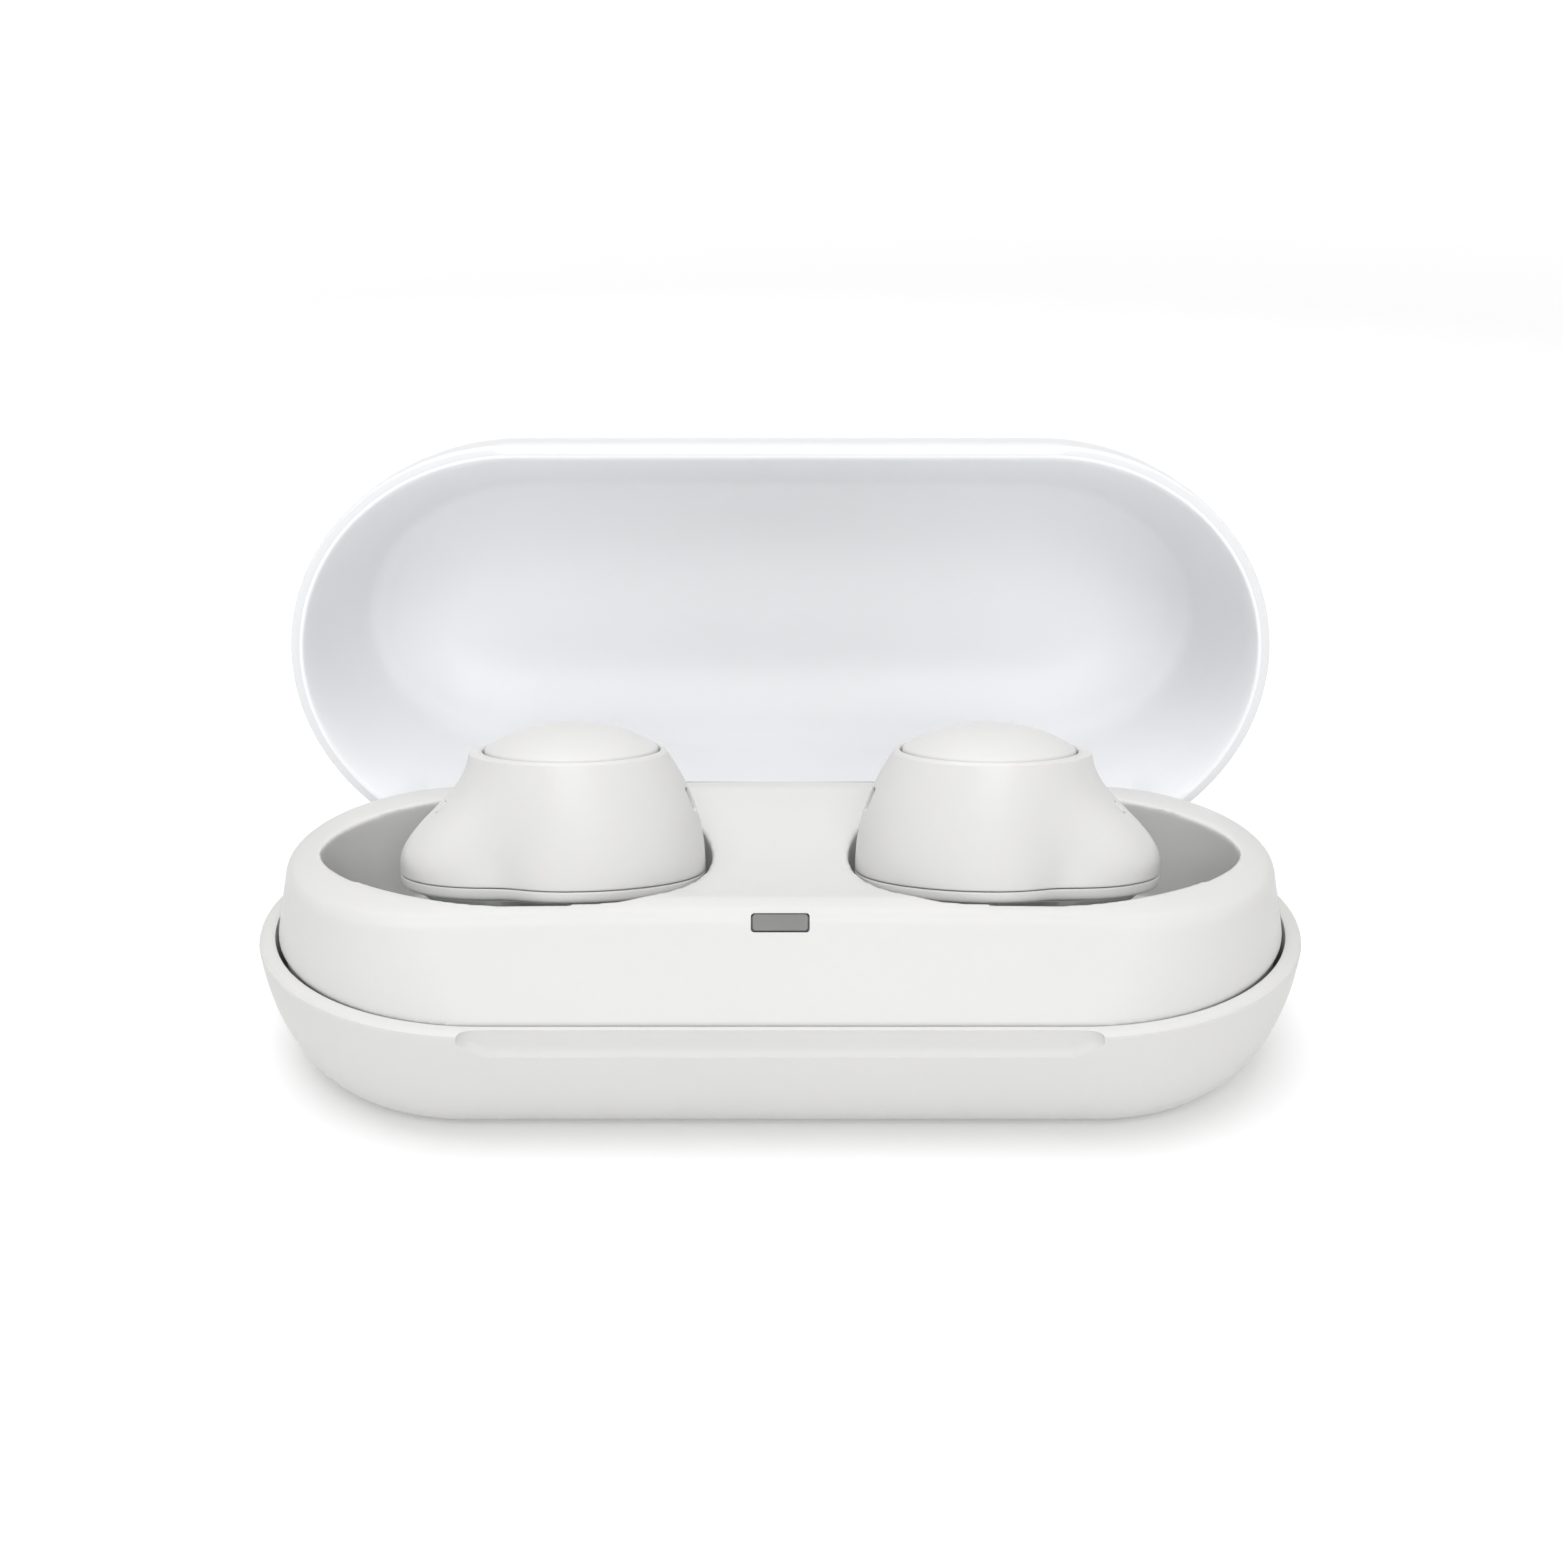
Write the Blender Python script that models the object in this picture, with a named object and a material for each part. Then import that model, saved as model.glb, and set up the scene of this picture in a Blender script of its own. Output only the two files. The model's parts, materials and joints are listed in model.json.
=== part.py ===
"""Wireless earbuds case: a pill-shaped charging case with its lid open and both earbuds seated.

Lengths are in metres. X runs along the case, -Y is its front, +Z is up, and the origin is the
middle of the flat underside. The lid's pieces are drawn shut and hang on an empty on the hinge
axis, which swings them open. Each earbud is drawn upright around the middle of its button and
hangs on an empty that leans it back.
"""

import math

import bmesh
import bpy
from mathutils import Matrix, Vector

MM = 0.001

# The case as a whole
HALF_LENGTH = 40.0 * MM
HALF_DEPTH = 17.45 * MM
STRAIGHT = 21.1 * MM  # half the straight run of the plan, between its curved ends
CASE_HEIGHT = 30.9 * MM
RIM_Z = 10.4 * MM  # where the lid meets the base
FIT = 0.15 * MM  # gap left between pieces that touch

# Lower shell
RIM_WIDTH = 1.1 * MM
RIM_DROP = 0.6 * MM
SHELL_WALL = 1.1 * MM
FLOOR = 1.4 * MM
UNDER_INSET = 6.0 * MM  # how far the underside lies in from the rim, front and back
UNDER_INSET_ENDS = 5.4 * MM
UNDER_STRAIGHT = 24.0 * MM
COVE_HALF_LENGTH = 22.2 * MM
COVE_DEPTH = 0.65 * MM
COVE_HEIGHT = 1.6 * MM

# Inner frame
DECK_Z = 16.7 * MM
DECK_HALF_LENGTH = 37.5 * MM
DECK_HALF_DEPTH = 11.35 * MM
DECK_STRAIGHT = 25.7 * MM
DECK_SHIFT = 0.4 * MM
TIP_GAP = 0.4 * MM  # gap between the collar and the rim at the case's two ends
FRAME_WALL = 1.2 * MM
WELL_FLOOR_Z = 8.4 * MM
TIP_FLOOR_Z = 3.4 * MM
TIP_POCKET_TOP = 12.2 * MM
BRIDGE_DIP = 0.9 * MM

# Lid
LID_WALL = 0.65 * MM
LINER_WALL = 0.7 * MM
LID_HEIGHT = CASE_HEIGHT - RIM_Z
LID_INSET = 14.5 * MM
LID_POWER = 2.3
LINER_EDGE = 0.5 * MM
NOTCH_HALF_LENGTH = 31.0 * MM
NOTCH_HEIGHT = 2.95 * MM

# Hinge
HINGE_Y = 15.0 * MM
HINGE_Z = RIM_Z
OPEN_ANGLE = math.radians(95.9)
PIN_RADIUS = 0.75 * MM
KNUCKLE_RADIUS = 1.5 * MM
HINGE_HALF_LENGTH = 16.0 * MM
LID_KNUCKLE_END = 8.9 * MM

# Earbuds
BUD_X = 15.65 * MM
BUD_Y = 0.82 * MM
BUD_Z = 24.18 * MM
BUD_LEAN = math.radians(15.0)
SEAM = -9.2 * MM
BUTTON_RADIUS = 6.5 * MM
BUTTON_RISE = 1.85 * MM
BUD_WALL = 0.9 * MM
BOWL_DEPTH = 5.4 * MM
LOBE_REACH = 13.0 * MM
NOZZLE_ANGLE = math.radians(25.0)
NOZZLE_START = Vector((7.0, 0.0, -10.5)) * MM
NOZZLE_RADIUS = 2.5 * MM
NOZZLE_LENGTH = 8.8 * MM
PAD_PLACES = (1.2 * MM, 4.0 * MM)

END_STEPS = 14
BUD_STEPS = 28
ROUND_STEPS = 20
SIDES = {"left": -1, "right": 1}


# ---------------------------------------------------------------- tools

def material(name, colour, roughness=0.5, metallic=0.0):
    made = bpy.data.materials.new(name)
    made.use_nodes = True
    shader = made.node_tree.nodes["Principled BSDF"]
    shader.inputs["Base Color"].default_value = (*colour, 1.0)
    shader.inputs["Roughness"].default_value = roughness
    shader.inputs["Metallic"].default_value = metallic
    return made


def place(name, bm, finish, parent=None, smooth=True):
    """Turn a bmesh into a named object, with its faces pointing out."""
    bmesh.ops.recalc_face_normals(bm, faces=bm.faces)
    mesh = bpy.data.meshes.new(name)
    bm.to_mesh(mesh)
    bm.free()
    if smooth:
        mesh.shade_smooth()
        mesh.set_sharp_from_angle(angle=math.radians(35))
    if finish:
        mesh.materials.append(finish)
    obj = bpy.data.objects.new(name, mesh)
    bpy.context.scene.collection.objects.link(obj)
    obj.parent = parent
    return obj


def loft(name, rings, finish, parent=None, loop=False, matrix=None):
    """Skin a run of rings into one closed body: capped at both ends, or joined end to end."""
    bm = bmesh.new()
    grid = [[bm.verts.new(matrix @ p if matrix else p) for p in ring] for ring in rings]
    count = len(rings[0])
    pairs = list(zip(grid, grid[1:]))
    if loop:
        pairs.append((grid[-1], grid[0]))
    else:
        bm.faces.new(grid[0])
        bm.faces.new(grid[-1])
    for lower, upper in pairs:
        for i in range(count):
            j = (i + 1) % count
            bm.faces.new((lower[i], lower[j], upper[j], upper[i]))
    return place(name, bm, finish, parent)


def pill(half_length, half_depth, straight, z, shift_y=0.0, steps=END_STEPS):
    """Plan outline of the case: two elliptical ends joined by straight runs."""
    points = []
    for side in (1, -1):
        for i in range(steps + 1):
            angle = side * math.pi * (i / steps - 0.5) * side + (0 if side > 0 else math.pi)
            x = side * straight + (half_length - straight) * math.cos(angle)
            points.append(Vector((x, half_depth * math.sin(angle) + shift_y, z)))
    return points


def circle(radius, z, x=0.0, y=0.0, steps=ROUND_STEPS):
    turns = [2 * math.pi * i / steps for i in range(steps)]
    return [Vector((x + radius * math.cos(a), y + radius * math.sin(a), z)) for a in turns]


def rounded(half_x, half_y, corner, z, x=0.0, y=0.0, steps=4):
    """Rectangle with round corners, as a ring."""
    points = []
    for quarter in range(4):
        middle_x = (half_x - corner) * (1 if quarter in (0, 3) else -1)
        middle_y = (half_y - corner) * (1 if quarter in (0, 1) else -1)
        for i in range(steps + 1):
            angle = math.pi / 2 * (quarter + i / steps)
            points.append(Vector((
                x + middle_x + corner * math.cos(angle), y + middle_y + corner * math.sin(angle), z
            )))
    return points


def slab(name, half_x, half_y, low, high, corner, finish, x=0.0, y=0.0, parent=None):
    rings = [rounded(half_x, half_y, corner, z, x, y) for z in (low, high)]
    return loft(name, rings, finish, parent)


def turned(name, profile, finish, parent=None, matrix=None, loop=False, steps=ROUND_STEPS):
    """Round piece from (radius, height) pairs."""
    rings = [circle(radius, z, steps=steps) for radius, z in profile]
    return loft(name, rings, finish, parent, loop, matrix)


def extruded(name, outline, low, high, finish, parent=None):
    """Prism along X from a (y, z) outline."""
    rings = [[Vector((x, y, z)) for y, z in outline] for x in (low, high)]
    return loft(name, rings, finish, parent)


def helper(obj):
    obj.hide_render = True
    obj.display_type = "WIRE"
    return obj


def boolean(target, tool, operation="DIFFERENCE"):
    modifier = target.modifiers.new(f"{operation.title()} {tool.name}", "BOOLEAN")
    modifier.operation = operation
    modifier.object = tool
    return modifier


def empty(name, location, rotation_x):
    made = bpy.data.objects.new(name, None)
    made.location = location
    made.rotation_euler = (rotation_x, 0.0, 0.0)
    bpy.context.scene.collection.objects.link(made)
    return made


def smoothstep(value):
    value = min(max(value, 0.0), 1.0)
    return value * value * (3 - 2 * value)


# ---------------------------------------------------------------- base casing

def shell_ring(depth, inset=0.0):
    """Outer outline of the lower shell; depth is 0 at the rim's lower edge and 1 underneath."""
    bulge = depth ** 1.9
    height = (RIM_Z - RIM_DROP) * (1 - depth)
    straight = STRAIGHT + (UNDER_STRAIGHT - STRAIGHT) * depth
    return pill(
        HALF_LENGTH - UNDER_INSET_ENDS * bulge - inset,
        HALF_DEPTH - UNDER_INSET * bulge - inset,
        straight, height,
    )


def cove_cutter(name, height, depth, z, y, parent=None):
    """Long bar with round ends that scoops the finger cove."""
    bm = bmesh.new()
    bmesh.ops.create_uvsphere(bm, u_segments=16, v_segments=12, radius=1.0)
    bmesh.ops.rotate(bm, verts=bm.verts, matrix=Matrix.Rotation(math.pi / 2, 3, "Y"))
    end = 2.6 * MM
    for vert in bm.verts:
        side = math.copysign(1.0, vert.co.x) if abs(vert.co.x) > 0.01 else 0.0
        vert.co = Vector((
            vert.co.x * end + side * (COVE_HALF_LENGTH - end),
            vert.co.y * depth + y,
            vert.co.z * height + z,
        ))
    return helper(place(name, bm, None, parent))


def lower_shell(finish):
    depths = [1.0, 0.97, 0.9, 0.78, 0.62, 0.42, 0.2, 0.0]
    rings = [shell_ring(depth) for depth in depths]
    rings.append(pill(HALF_LENGTH - 0.35 * MM, HALF_DEPTH - 0.35 * MM, STRAIGHT, RIM_Z - 0.25 * MM))
    rings.append(pill(HALF_LENGTH - 0.8 * MM, HALF_DEPTH - 0.8 * MM, STRAIGHT, RIM_Z))
    rings.append(pill(HALF_LENGTH - RIM_WIDTH, HALF_DEPTH - RIM_WIDTH, STRAIGHT, RIM_Z))
    for depth in (0.16, 0.48, 0.74):
        rings.append(shell_ring(depth, SHELL_WALL + 0.35 * MM * depth))
    floor = shell_ring(0.86, SHELL_WALL + 0.9 * MM)
    rings.append([Vector((p.x, p.y, FLOOR)) for p in floor])
    shell = loft("lower_shell", rings, finish)

    band = [
        pill(HALF_LENGTH - inset, HALF_DEPTH - inset, STRAIGHT, z)
        for inset, z in (
            (0.3 * MM, RIM_Z - 1.2 * MM), (0.3 * MM, RIM_Z + 1.65 * MM), (0.55 * MM, RIM_Z + 1.95 * MM),
            (1.05 * MM, RIM_Z + 2.25 * MM), (1.05 * MM, RIM_Z - 1.2 * MM),
        )
    ]
    upstand = helper(loft("upstand", band, None, loop=True))
    keep = helper(extruded("upstand_keep", box_outline(10.0, 20.0, 8.0, 15.0), -30.4 * MM, 30.4 * MM, None))
    boolean(upstand, keep, "INTERSECT")
    boolean(shell, upstand, "UNION")
    slot = helper(extruded("hinge_slot", box_outline(13.0, 20.0, 8.3, 16.0), -9.2 * MM, 9.2 * MM, None))
    boolean(shell, slot)
    relief = extruded("hinge_relief", box_outline(12.5, 16.65, 8.2, 12.3), -16.3 * MM, 16.3 * MM, None)
    boolean(shell, helper(relief))

    front = -HALF_DEPTH + 0.02 * MM
    cove = cove_cutter("cove_cutter", COVE_HEIGHT, COVE_DEPTH, RIM_Z - 0.35 * MM, front)
    boolean(shell, cove)
    port = loft("port_cutter", usb_rings(4.95 * MM, 2.0 * MM, 13.0 * MM, 20.0 * MM), None)
    boolean(shell, helper(port))
    for number, (x, y) in enumerate(board_screw_places()):
        boss = helper(turned(f"boss_{number}", [(1.5 * MM, FLOOR - 0.4 * MM), (1.5 * MM, 2.9 * MM)], None,
                             matrix=Matrix.Translation((x, y, 0)), steps=12))
        boolean(shell, boss, "UNION")
        bore = helper(turned(f"boss_bore_{number}", [(0.65 * MM, 1.0 * MM), (0.65 * MM, 4.0 * MM)], None,
                             matrix=Matrix.Translation((x, y, 0)), steps=12))
        boolean(shell, bore)
    return shell


def box_outline(y_low, y_high, z_low, z_high):
    """(y, z) corners in metres of a rectangle given in millimetres."""
    corners = ((y_low, z_low), (y_high, z_low), (y_high, z_high), (y_low, z_high))
    return [(y * MM, z * MM) for y, z in corners]


def board_screw_places():
    return [(sx * 13.6 * MM, sy * 10.7 * MM) for sx in (-1, 1) for sy in (-1, 1)]


def usb_rings(half_x, half_z, front, back):
    """Rings of a round-ended slot that runs along Y, centred on the port."""
    ring = rounded(half_x, half_z, half_z, 0.0, steps=6)
    return [[Vector((p.x, y, p.y + 5.55 * MM)) for p in ring] for y in (front, back)]


# ---------------------------------------------------------------- inner frame

def frame_ring(height, inset=0.0):
    """Outline of the collar; height is 0 at the rim and 1 at the deck."""
    def between(low, high):
        return low + (high - low) * height
    return pill(
        between(HALF_LENGTH - RIM_WIDTH - TIP_GAP, DECK_HALF_LENGTH) - inset,
        between(HALF_DEPTH - RIM_WIDTH - FIT, DECK_HALF_DEPTH) - inset,
        between(STRAIGHT, DECK_STRAIGHT),
        RIM_Z + (DECK_Z - RIM_Z) * height,
        between(0.0, DECK_SHIFT),
    )


def well_outline(side, grow, z):
    """Mouth of one earbud's well: a long oval, narrower at the case's front corner."""
    middle_y = -0.5 * MM
    points = []
    steps = 2 * END_STEPS
    for i in range(steps * 2):
        angle = math.pi * i / steps
        across, along = math.cos(angle), math.sin(angle)
        if across > 0:
            power = 1.7 if along < 0 else 2.0
            x = 20.0 * MM + (14.9 * MM + grow) * abs(across) ** (2 / power)
        else:
            power = 2.0
            x = 13.5 * MM - (8.3 * MM + grow) * abs(across)
        depth = (9.5 * MM if along > 0 else 9.2 * MM) + grow
        y = middle_y + math.copysign(abs(along) ** (2 / power), along) * depth
        points.append(Vector((side * x, y, z)))
    return points


def tip_outline(grow, z, side):
    """Deep part of the well, under the ear tip."""
    ring = rounded(6.7 * MM + grow, 6.3 * MM + grow, 4.7 * MM + grow, z)
    return [p + Vector((side * 25.1 * MM, -3.1 * MM, 0.0)) for p in ring]


def inner_frame(finish):
    skirt = RIM_Z - 2.6 * MM
    lowered = [Vector((p.x, p.y, skirt)) for p in frame_ring(0.0, 0.5 * MM)]
    eased = [Vector((p.x, p.y, RIM_Z - 0.4 * MM)) for p in frame_ring(0.0, 0.35 * MM)]
    rings = [lowered, eased]
    rings += [frame_ring(height) for height in (0.0, 0.3, 0.6, 0.86)]
    rings += [frame_ring(0.95, 0.06 * MM), frame_ring(1.0, 0.45 * MM)]
    frame = loft("inner_frame", rings, finish)

    hollow = [Vector((p.x, p.y, skirt - 1.0 * MM)) for p in frame_ring(0.0, 0.5 * MM + FRAME_WALL)]
    inside = [hollow] + [frame_ring(height, FRAME_WALL + 0.35 * MM) for height in (0.0, 0.4, 0.79)]
    boolean(frame, helper(loft("frame_hollow", inside, None)))
    for name, side in SIDES.items():
        cup = [well_outline(side, 1.1 * MM, z) for z in (WELL_FLOOR_Z - 1.1 * MM, DECK_Z - 0.9 * MM)]
        boolean(frame, helper(loft(f"cup_{name}", cup, None)), "UNION")
        deep = [tip_outline(0.8 * MM, z, side) for z in (TIP_FLOOR_Z - 0.8 * MM, TIP_POCKET_TOP + 0.9 * MM)]
        boolean(frame, helper(loft(f"tip_cup_{name}", deep, None)), "UNION")
    for name, side in SIDES.items():
        well = [well_outline(side, 0.0, WELL_FLOOR_Z), well_outline(side, 0.0, DECK_Z + 1.0 * MM)]
        boolean(frame, helper(loft(f"well_{name}", well, None)))
        deep = [tip_outline(0.0, z, side) for z in (TIP_FLOOR_Z, TIP_POCKET_TOP)]
        boolean(frame, helper(loft(f"tip_well_{name}", deep, None)))
    boolean(frame, helper(bridge_cutter()))
    pocket = extruded("hinge_pocket", box_outline(11.0, 20.0, 5.0, 13.8), -17.2 * MM, 17.2 * MM, None)
    boolean(frame, helper(pocket))
    boolean(frame, helper(led_block("led_pocket", FIT, None)))
    return frame


def bridge_cutter():
    """Shallow trough across the bridge between the wells."""
    half = 9.7 * MM
    radius = (half ** 2 + BRIDGE_DIP ** 2) / (2 * BRIDGE_DIP)
    outline = []
    for i in range(13):
        y = half * (i / 6 - 1)
        drop = BRIDGE_DIP - (radius - math.sqrt(radius ** 2 - y ** 2))
        outline.append((y, DECK_Z - drop))
    outline += [(half, DECK_Z + 1.0 * MM), (-half, DECK_Z + 1.0 * MM)]
    return extruded("bridge_cutter", outline, -13.0 * MM, 13.0 * MM, None)


def collar_slope():
    """Point at the top of the collar's front face, and the unit vectors down it and out of it."""
    top = Vector((0.0, -DECK_HALF_DEPTH + DECK_SHIFT, DECK_Z))
    foot = Vector((0.0, -HALF_DEPTH + RIM_WIDTH + FIT, RIM_Z))
    down = (foot - top).normalized()
    return top, down, down.cross(Vector((1.0, 0.0, 0.0)))


def led_block(name, grow, finish):
    """Small window let into the top of the collar's front face."""
    top, down, out = collar_slope()
    middle = top + down * 0.8 * MM - out * 0.45 * MM
    frame = Matrix((Vector((1, 0, 0)), down, out)).transposed().to_4x4()
    frame.translation = middle
    rings = [
        rounded(2.0 * MM + grow, 0.62 * MM + grow, 0.3 * MM, z)
        for z in (-0.45 * MM - grow, 0.45 * MM if finish else 1.2 * MM)
    ]
    return loft(name, rings, finish, matrix=frame)


# ---------------------------------------------------------------- what the base holds

def base_electronics(finishes):
    board = slab("main_board", 15.4 * MM, 12.2 * MM, 3.0 * MM, 3.8 * MM, 1.5 * MM, finishes["board"])
    for number, (x, y) in enumerate(board_screw_places()):
        at = Matrix.Translation((x, y, 0))
        hole = turned(f"board_hole_{number}", [(0.7 * MM, 2.5 * MM), (0.7 * MM, 4.5 * MM)], None,
                      matrix=at, steps=12)
        boolean(board, helper(hole))
        turned(f"board_screw_{number + 1}", [
            (0.5 * MM, 1.3 * MM), (0.5 * MM, 3.9 * MM), (1.1 * MM, 3.9 * MM), (1.1 * MM, 4.3 * MM),
            (0.7 * MM, 4.55 * MM),
        ], finishes["steel"], matrix=at, steps=16)
    slab("battery_pad", 13.0 * MM, 8.2 * MM, 3.88 * MM, 4.08 * MM, 0.8 * MM, finishes["foam"])
    slab("battery_cell", 14.0 * MM, 8.9 * MM, 4.16 * MM, 6.15 * MM, 1.6 * MM, finishes["cell"])
    slab("hall_sensor", 1.45 * MM, 0.8 * MM, 3.88 * MM, 4.9 * MM, 0.1 * MM, finishes["black"],
         x=8.6 * MM, y=10.2 * MM)
    slab("status_led", 0.8 * MM, 0.4 * MM, 13.6 * MM, 14.4 * MM, 0.1 * MM, finishes["led"], y=-10.95 * MM)


def usb_port(finishes):
    """Receptacle: a steel can with a round-ended mouth, and the contact tongue inside it."""
    outer = usb_rings(4.47 * MM, 1.6 * MM, 9.4 * MM, 15.5 * MM)
    inner = usb_rings(4.17 * MM, 1.3 * MM, 15.5 * MM, 10.2 * MM)
    loft("usb_c_shell", outer + inner, finishes["steel"])
    tongue = [
        [Vector((p.x, y, p.y + 5.55 * MM)) for p in rounded(3.3 * MM, 0.35 * MM, 0.2 * MM, 0.0)]
        for y in (10.35 * MM, 15.0 * MM)
    ]
    loft("usb_c_tongue", tongue, finishes["black"])


def flex_cable(name, side, finish):
    """Thin strip from the contact block, round the cell's edge, to the board."""
    thick = 0.12 * MM
    path = [(11.2, 6.34), (14.72, 6.34), (14.72, 3.9), (15.3, 3.9)]
    top = [(x * MM, z * MM) for x, z in path]
    under = [(top[0][0], top[0][1] - thick), (top[1][0] - thick, top[1][1] - thick),
             (top[2][0] - thick, top[2][1] - thick + 0.06 * MM), (top[3][0], top[3][1] - 0.06 * MM)]
    outline = top + under[::-1]
    rings = [[Vector((side * x, y, z)) for x, z in outline] for y in (-6.6 * MM, -2.8 * MM)]
    loft(name, rings, finish)


def base_magnets(finish):
    for name, side in SIDES.items():
        slab(f"closing_magnet_{name}", 2.5 * MM, 0.85 * MM, 8.4 * MM, 11.2 * MM, 0.2 * MM, finish,
             x=side * 20.0 * MM, y=-12.5 * MM)
        turned(f"seat_magnet_{name}", [(1.9 * MM, 6.66 * MM), (1.9 * MM, 7.14 * MM)], finish,
               matrix=Matrix.Translation((side * 10.6 * MM, 4.2 * MM, 0)))


# ---------------------------------------------------------------- hinge

def knuckle_outline(radius, tail):
    """Disc round the pin, drawn with the points of its tail, relative to the axis."""
    start, stop = math.radians(tail["from"]), math.radians(tail["to"])
    arc = [start + (stop - start) * i / 16 for i in range(17)]
    return [(radius * math.cos(a), radius * math.sin(a)) for a in arc] + [
        (y * MM, z * MM) for y, z in tail["points"]
    ]


def pin_bore(name, parent=None):
    rings = [
        [Vector((x, 0.87 * MM * math.cos(a), 0.87 * MM * math.sin(a)))
         for a in (2 * math.pi * i / 16 for i in range(16))]
        for x in (-30 * MM, 30 * MM)
    ]
    return helper(loft(name, rings, None, parent))


def hinge(axis_fixed, finishes):
    """Bracket screwed to the base, its pin, and the spring between the lid's knuckles."""
    ear = knuckle_outline(KNUCKLE_RADIUS, {
        "from": -100, "to": 100, "points": [(-2.1, 1.4), (-3.6, 1.4), (-3.6, -2.5), (-2.1, -2.5)],
    })
    bracket = extruded("hinge_bracket", ear, -HINGE_HALF_LENGTH, HINGE_HALF_LENGTH, finishes["black"],
                       axis_fixed)
    gap_outline = [(y * MM, z * MM) for y, z in ((-2.05, -3.5), (3.0, -3.5), (3.0, 3.5), (-2.05, 3.5))]
    gap = extruded("bracket_gap", gap_outline, -9.2 * MM, 9.2 * MM, None, axis_fixed)
    boolean(bracket, helper(gap))
    boolean(bracket, pin_bore("bracket_bore", axis_fixed))

    along_x = Matrix.Rotation(math.pi / 2, 4, "Y")
    end = HINGE_HALF_LENGTH - 0.1 * MM
    turned("hinge_pin", [
        (PIN_RADIUS - 0.15 * MM, -end), (PIN_RADIUS, -end + 0.15 * MM), (PIN_RADIUS, end - 0.15 * MM),
        (PIN_RADIUS - 0.15 * MM, end),
    ], finishes["steel"], axis_fixed, along_x, steps=16)
    hinge_spring(axis_fixed, finishes["steel"])


def hinge_spring(parent, finish):
    """Torsion spring wound on the pin, with a short leg at each end."""
    curve = bpy.data.curves.new("hinge_spring", "CURVE")
    curve.dimensions = "3D"
    curve.bevel_depth = 0.2 * MM
    curve.bevel_resolution = 1
    curve.use_fill_caps = True
    coil, turns, steps = 1.15 * MM, 4, 9
    points = [Vector((-1.4 * MM, -1.7 * MM, coil))]
    for i in range(turns * steps + 1):
        angle = math.pi / 2 - 2 * math.pi * i / steps
        points.append(Vector((
            (-1.4 + 2.8 * i / (turns * steps)) * MM, coil * math.cos(angle), coil * math.sin(angle)
        )))
    points.append(Vector((1.4 * MM, 1.7 * MM, coil)))
    spline = curve.splines.new("POLY")
    spline.points.add(len(points) - 1)
    for target, point in zip(spline.points, points):
        target.co = (*point, 1.0)
    curve.materials.append(finish)
    spring = bpy.data.objects.new("hinge_spring", curve)
    bpy.context.scene.collection.objects.link(spring)
    spring.parent = parent


# ---------------------------------------------------------------- lid (drawn shut, from the hinge axis)

def lid_ring(height, inset, end_inset=None):
    """Ring of the lid's outline at a height over the rim, relative to the hinge axis."""
    ring = pill(HALF_LENGTH - (end_inset or inset), HALF_DEPTH - inset, STRAIGHT, height)
    return [p - Vector((0.0, HINGE_Y, 0.0)) for p in ring]


def dome(top, start, wall, steps):
    """(height, inset) pairs up a domed wall that reaches its top at the full inset."""
    pairs = []
    for i in range(steps + 1):
        angle = math.pi / 2 * i / steps
        height = top * math.sin(angle) ** (2 / LID_POWER)
        inset = wall + LID_INSET * (1 - math.cos(angle) ** (2 / LID_POWER))
        if height >= start:
            pairs.append((height, inset))
    if pairs[0][0] > start:
        pairs.insert(0, (start, wall + wall_inset(start)))
    return pairs


def wall_inset(height):
    """How far the lid's outer wall lies in at a height over the rim."""
    return LID_INSET * (1 - (1 - (height / LID_HEIGHT) ** LID_POWER) ** (1 / LID_POWER))


def thickened(profile, wall):
    """Outer side of a liner wall, from the (height, inset, end inset) points up its inner side."""
    made = []
    for before, here, after in zip(profile[:1] + profile, profile, profile[1:] + profile[-1:]):
        rise, run = after[0] - before[0], after[1] - before[1]
        length = math.hypot(rise, run)
        height, shift = here[0] + wall * run / length, wall * rise / length
        least = wall_inset(height) + LID_WALL + 0.4 * MM
        made.append((height, max(here[1] - shift, least), max(here[2] - shift, least)))
    return made


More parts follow.
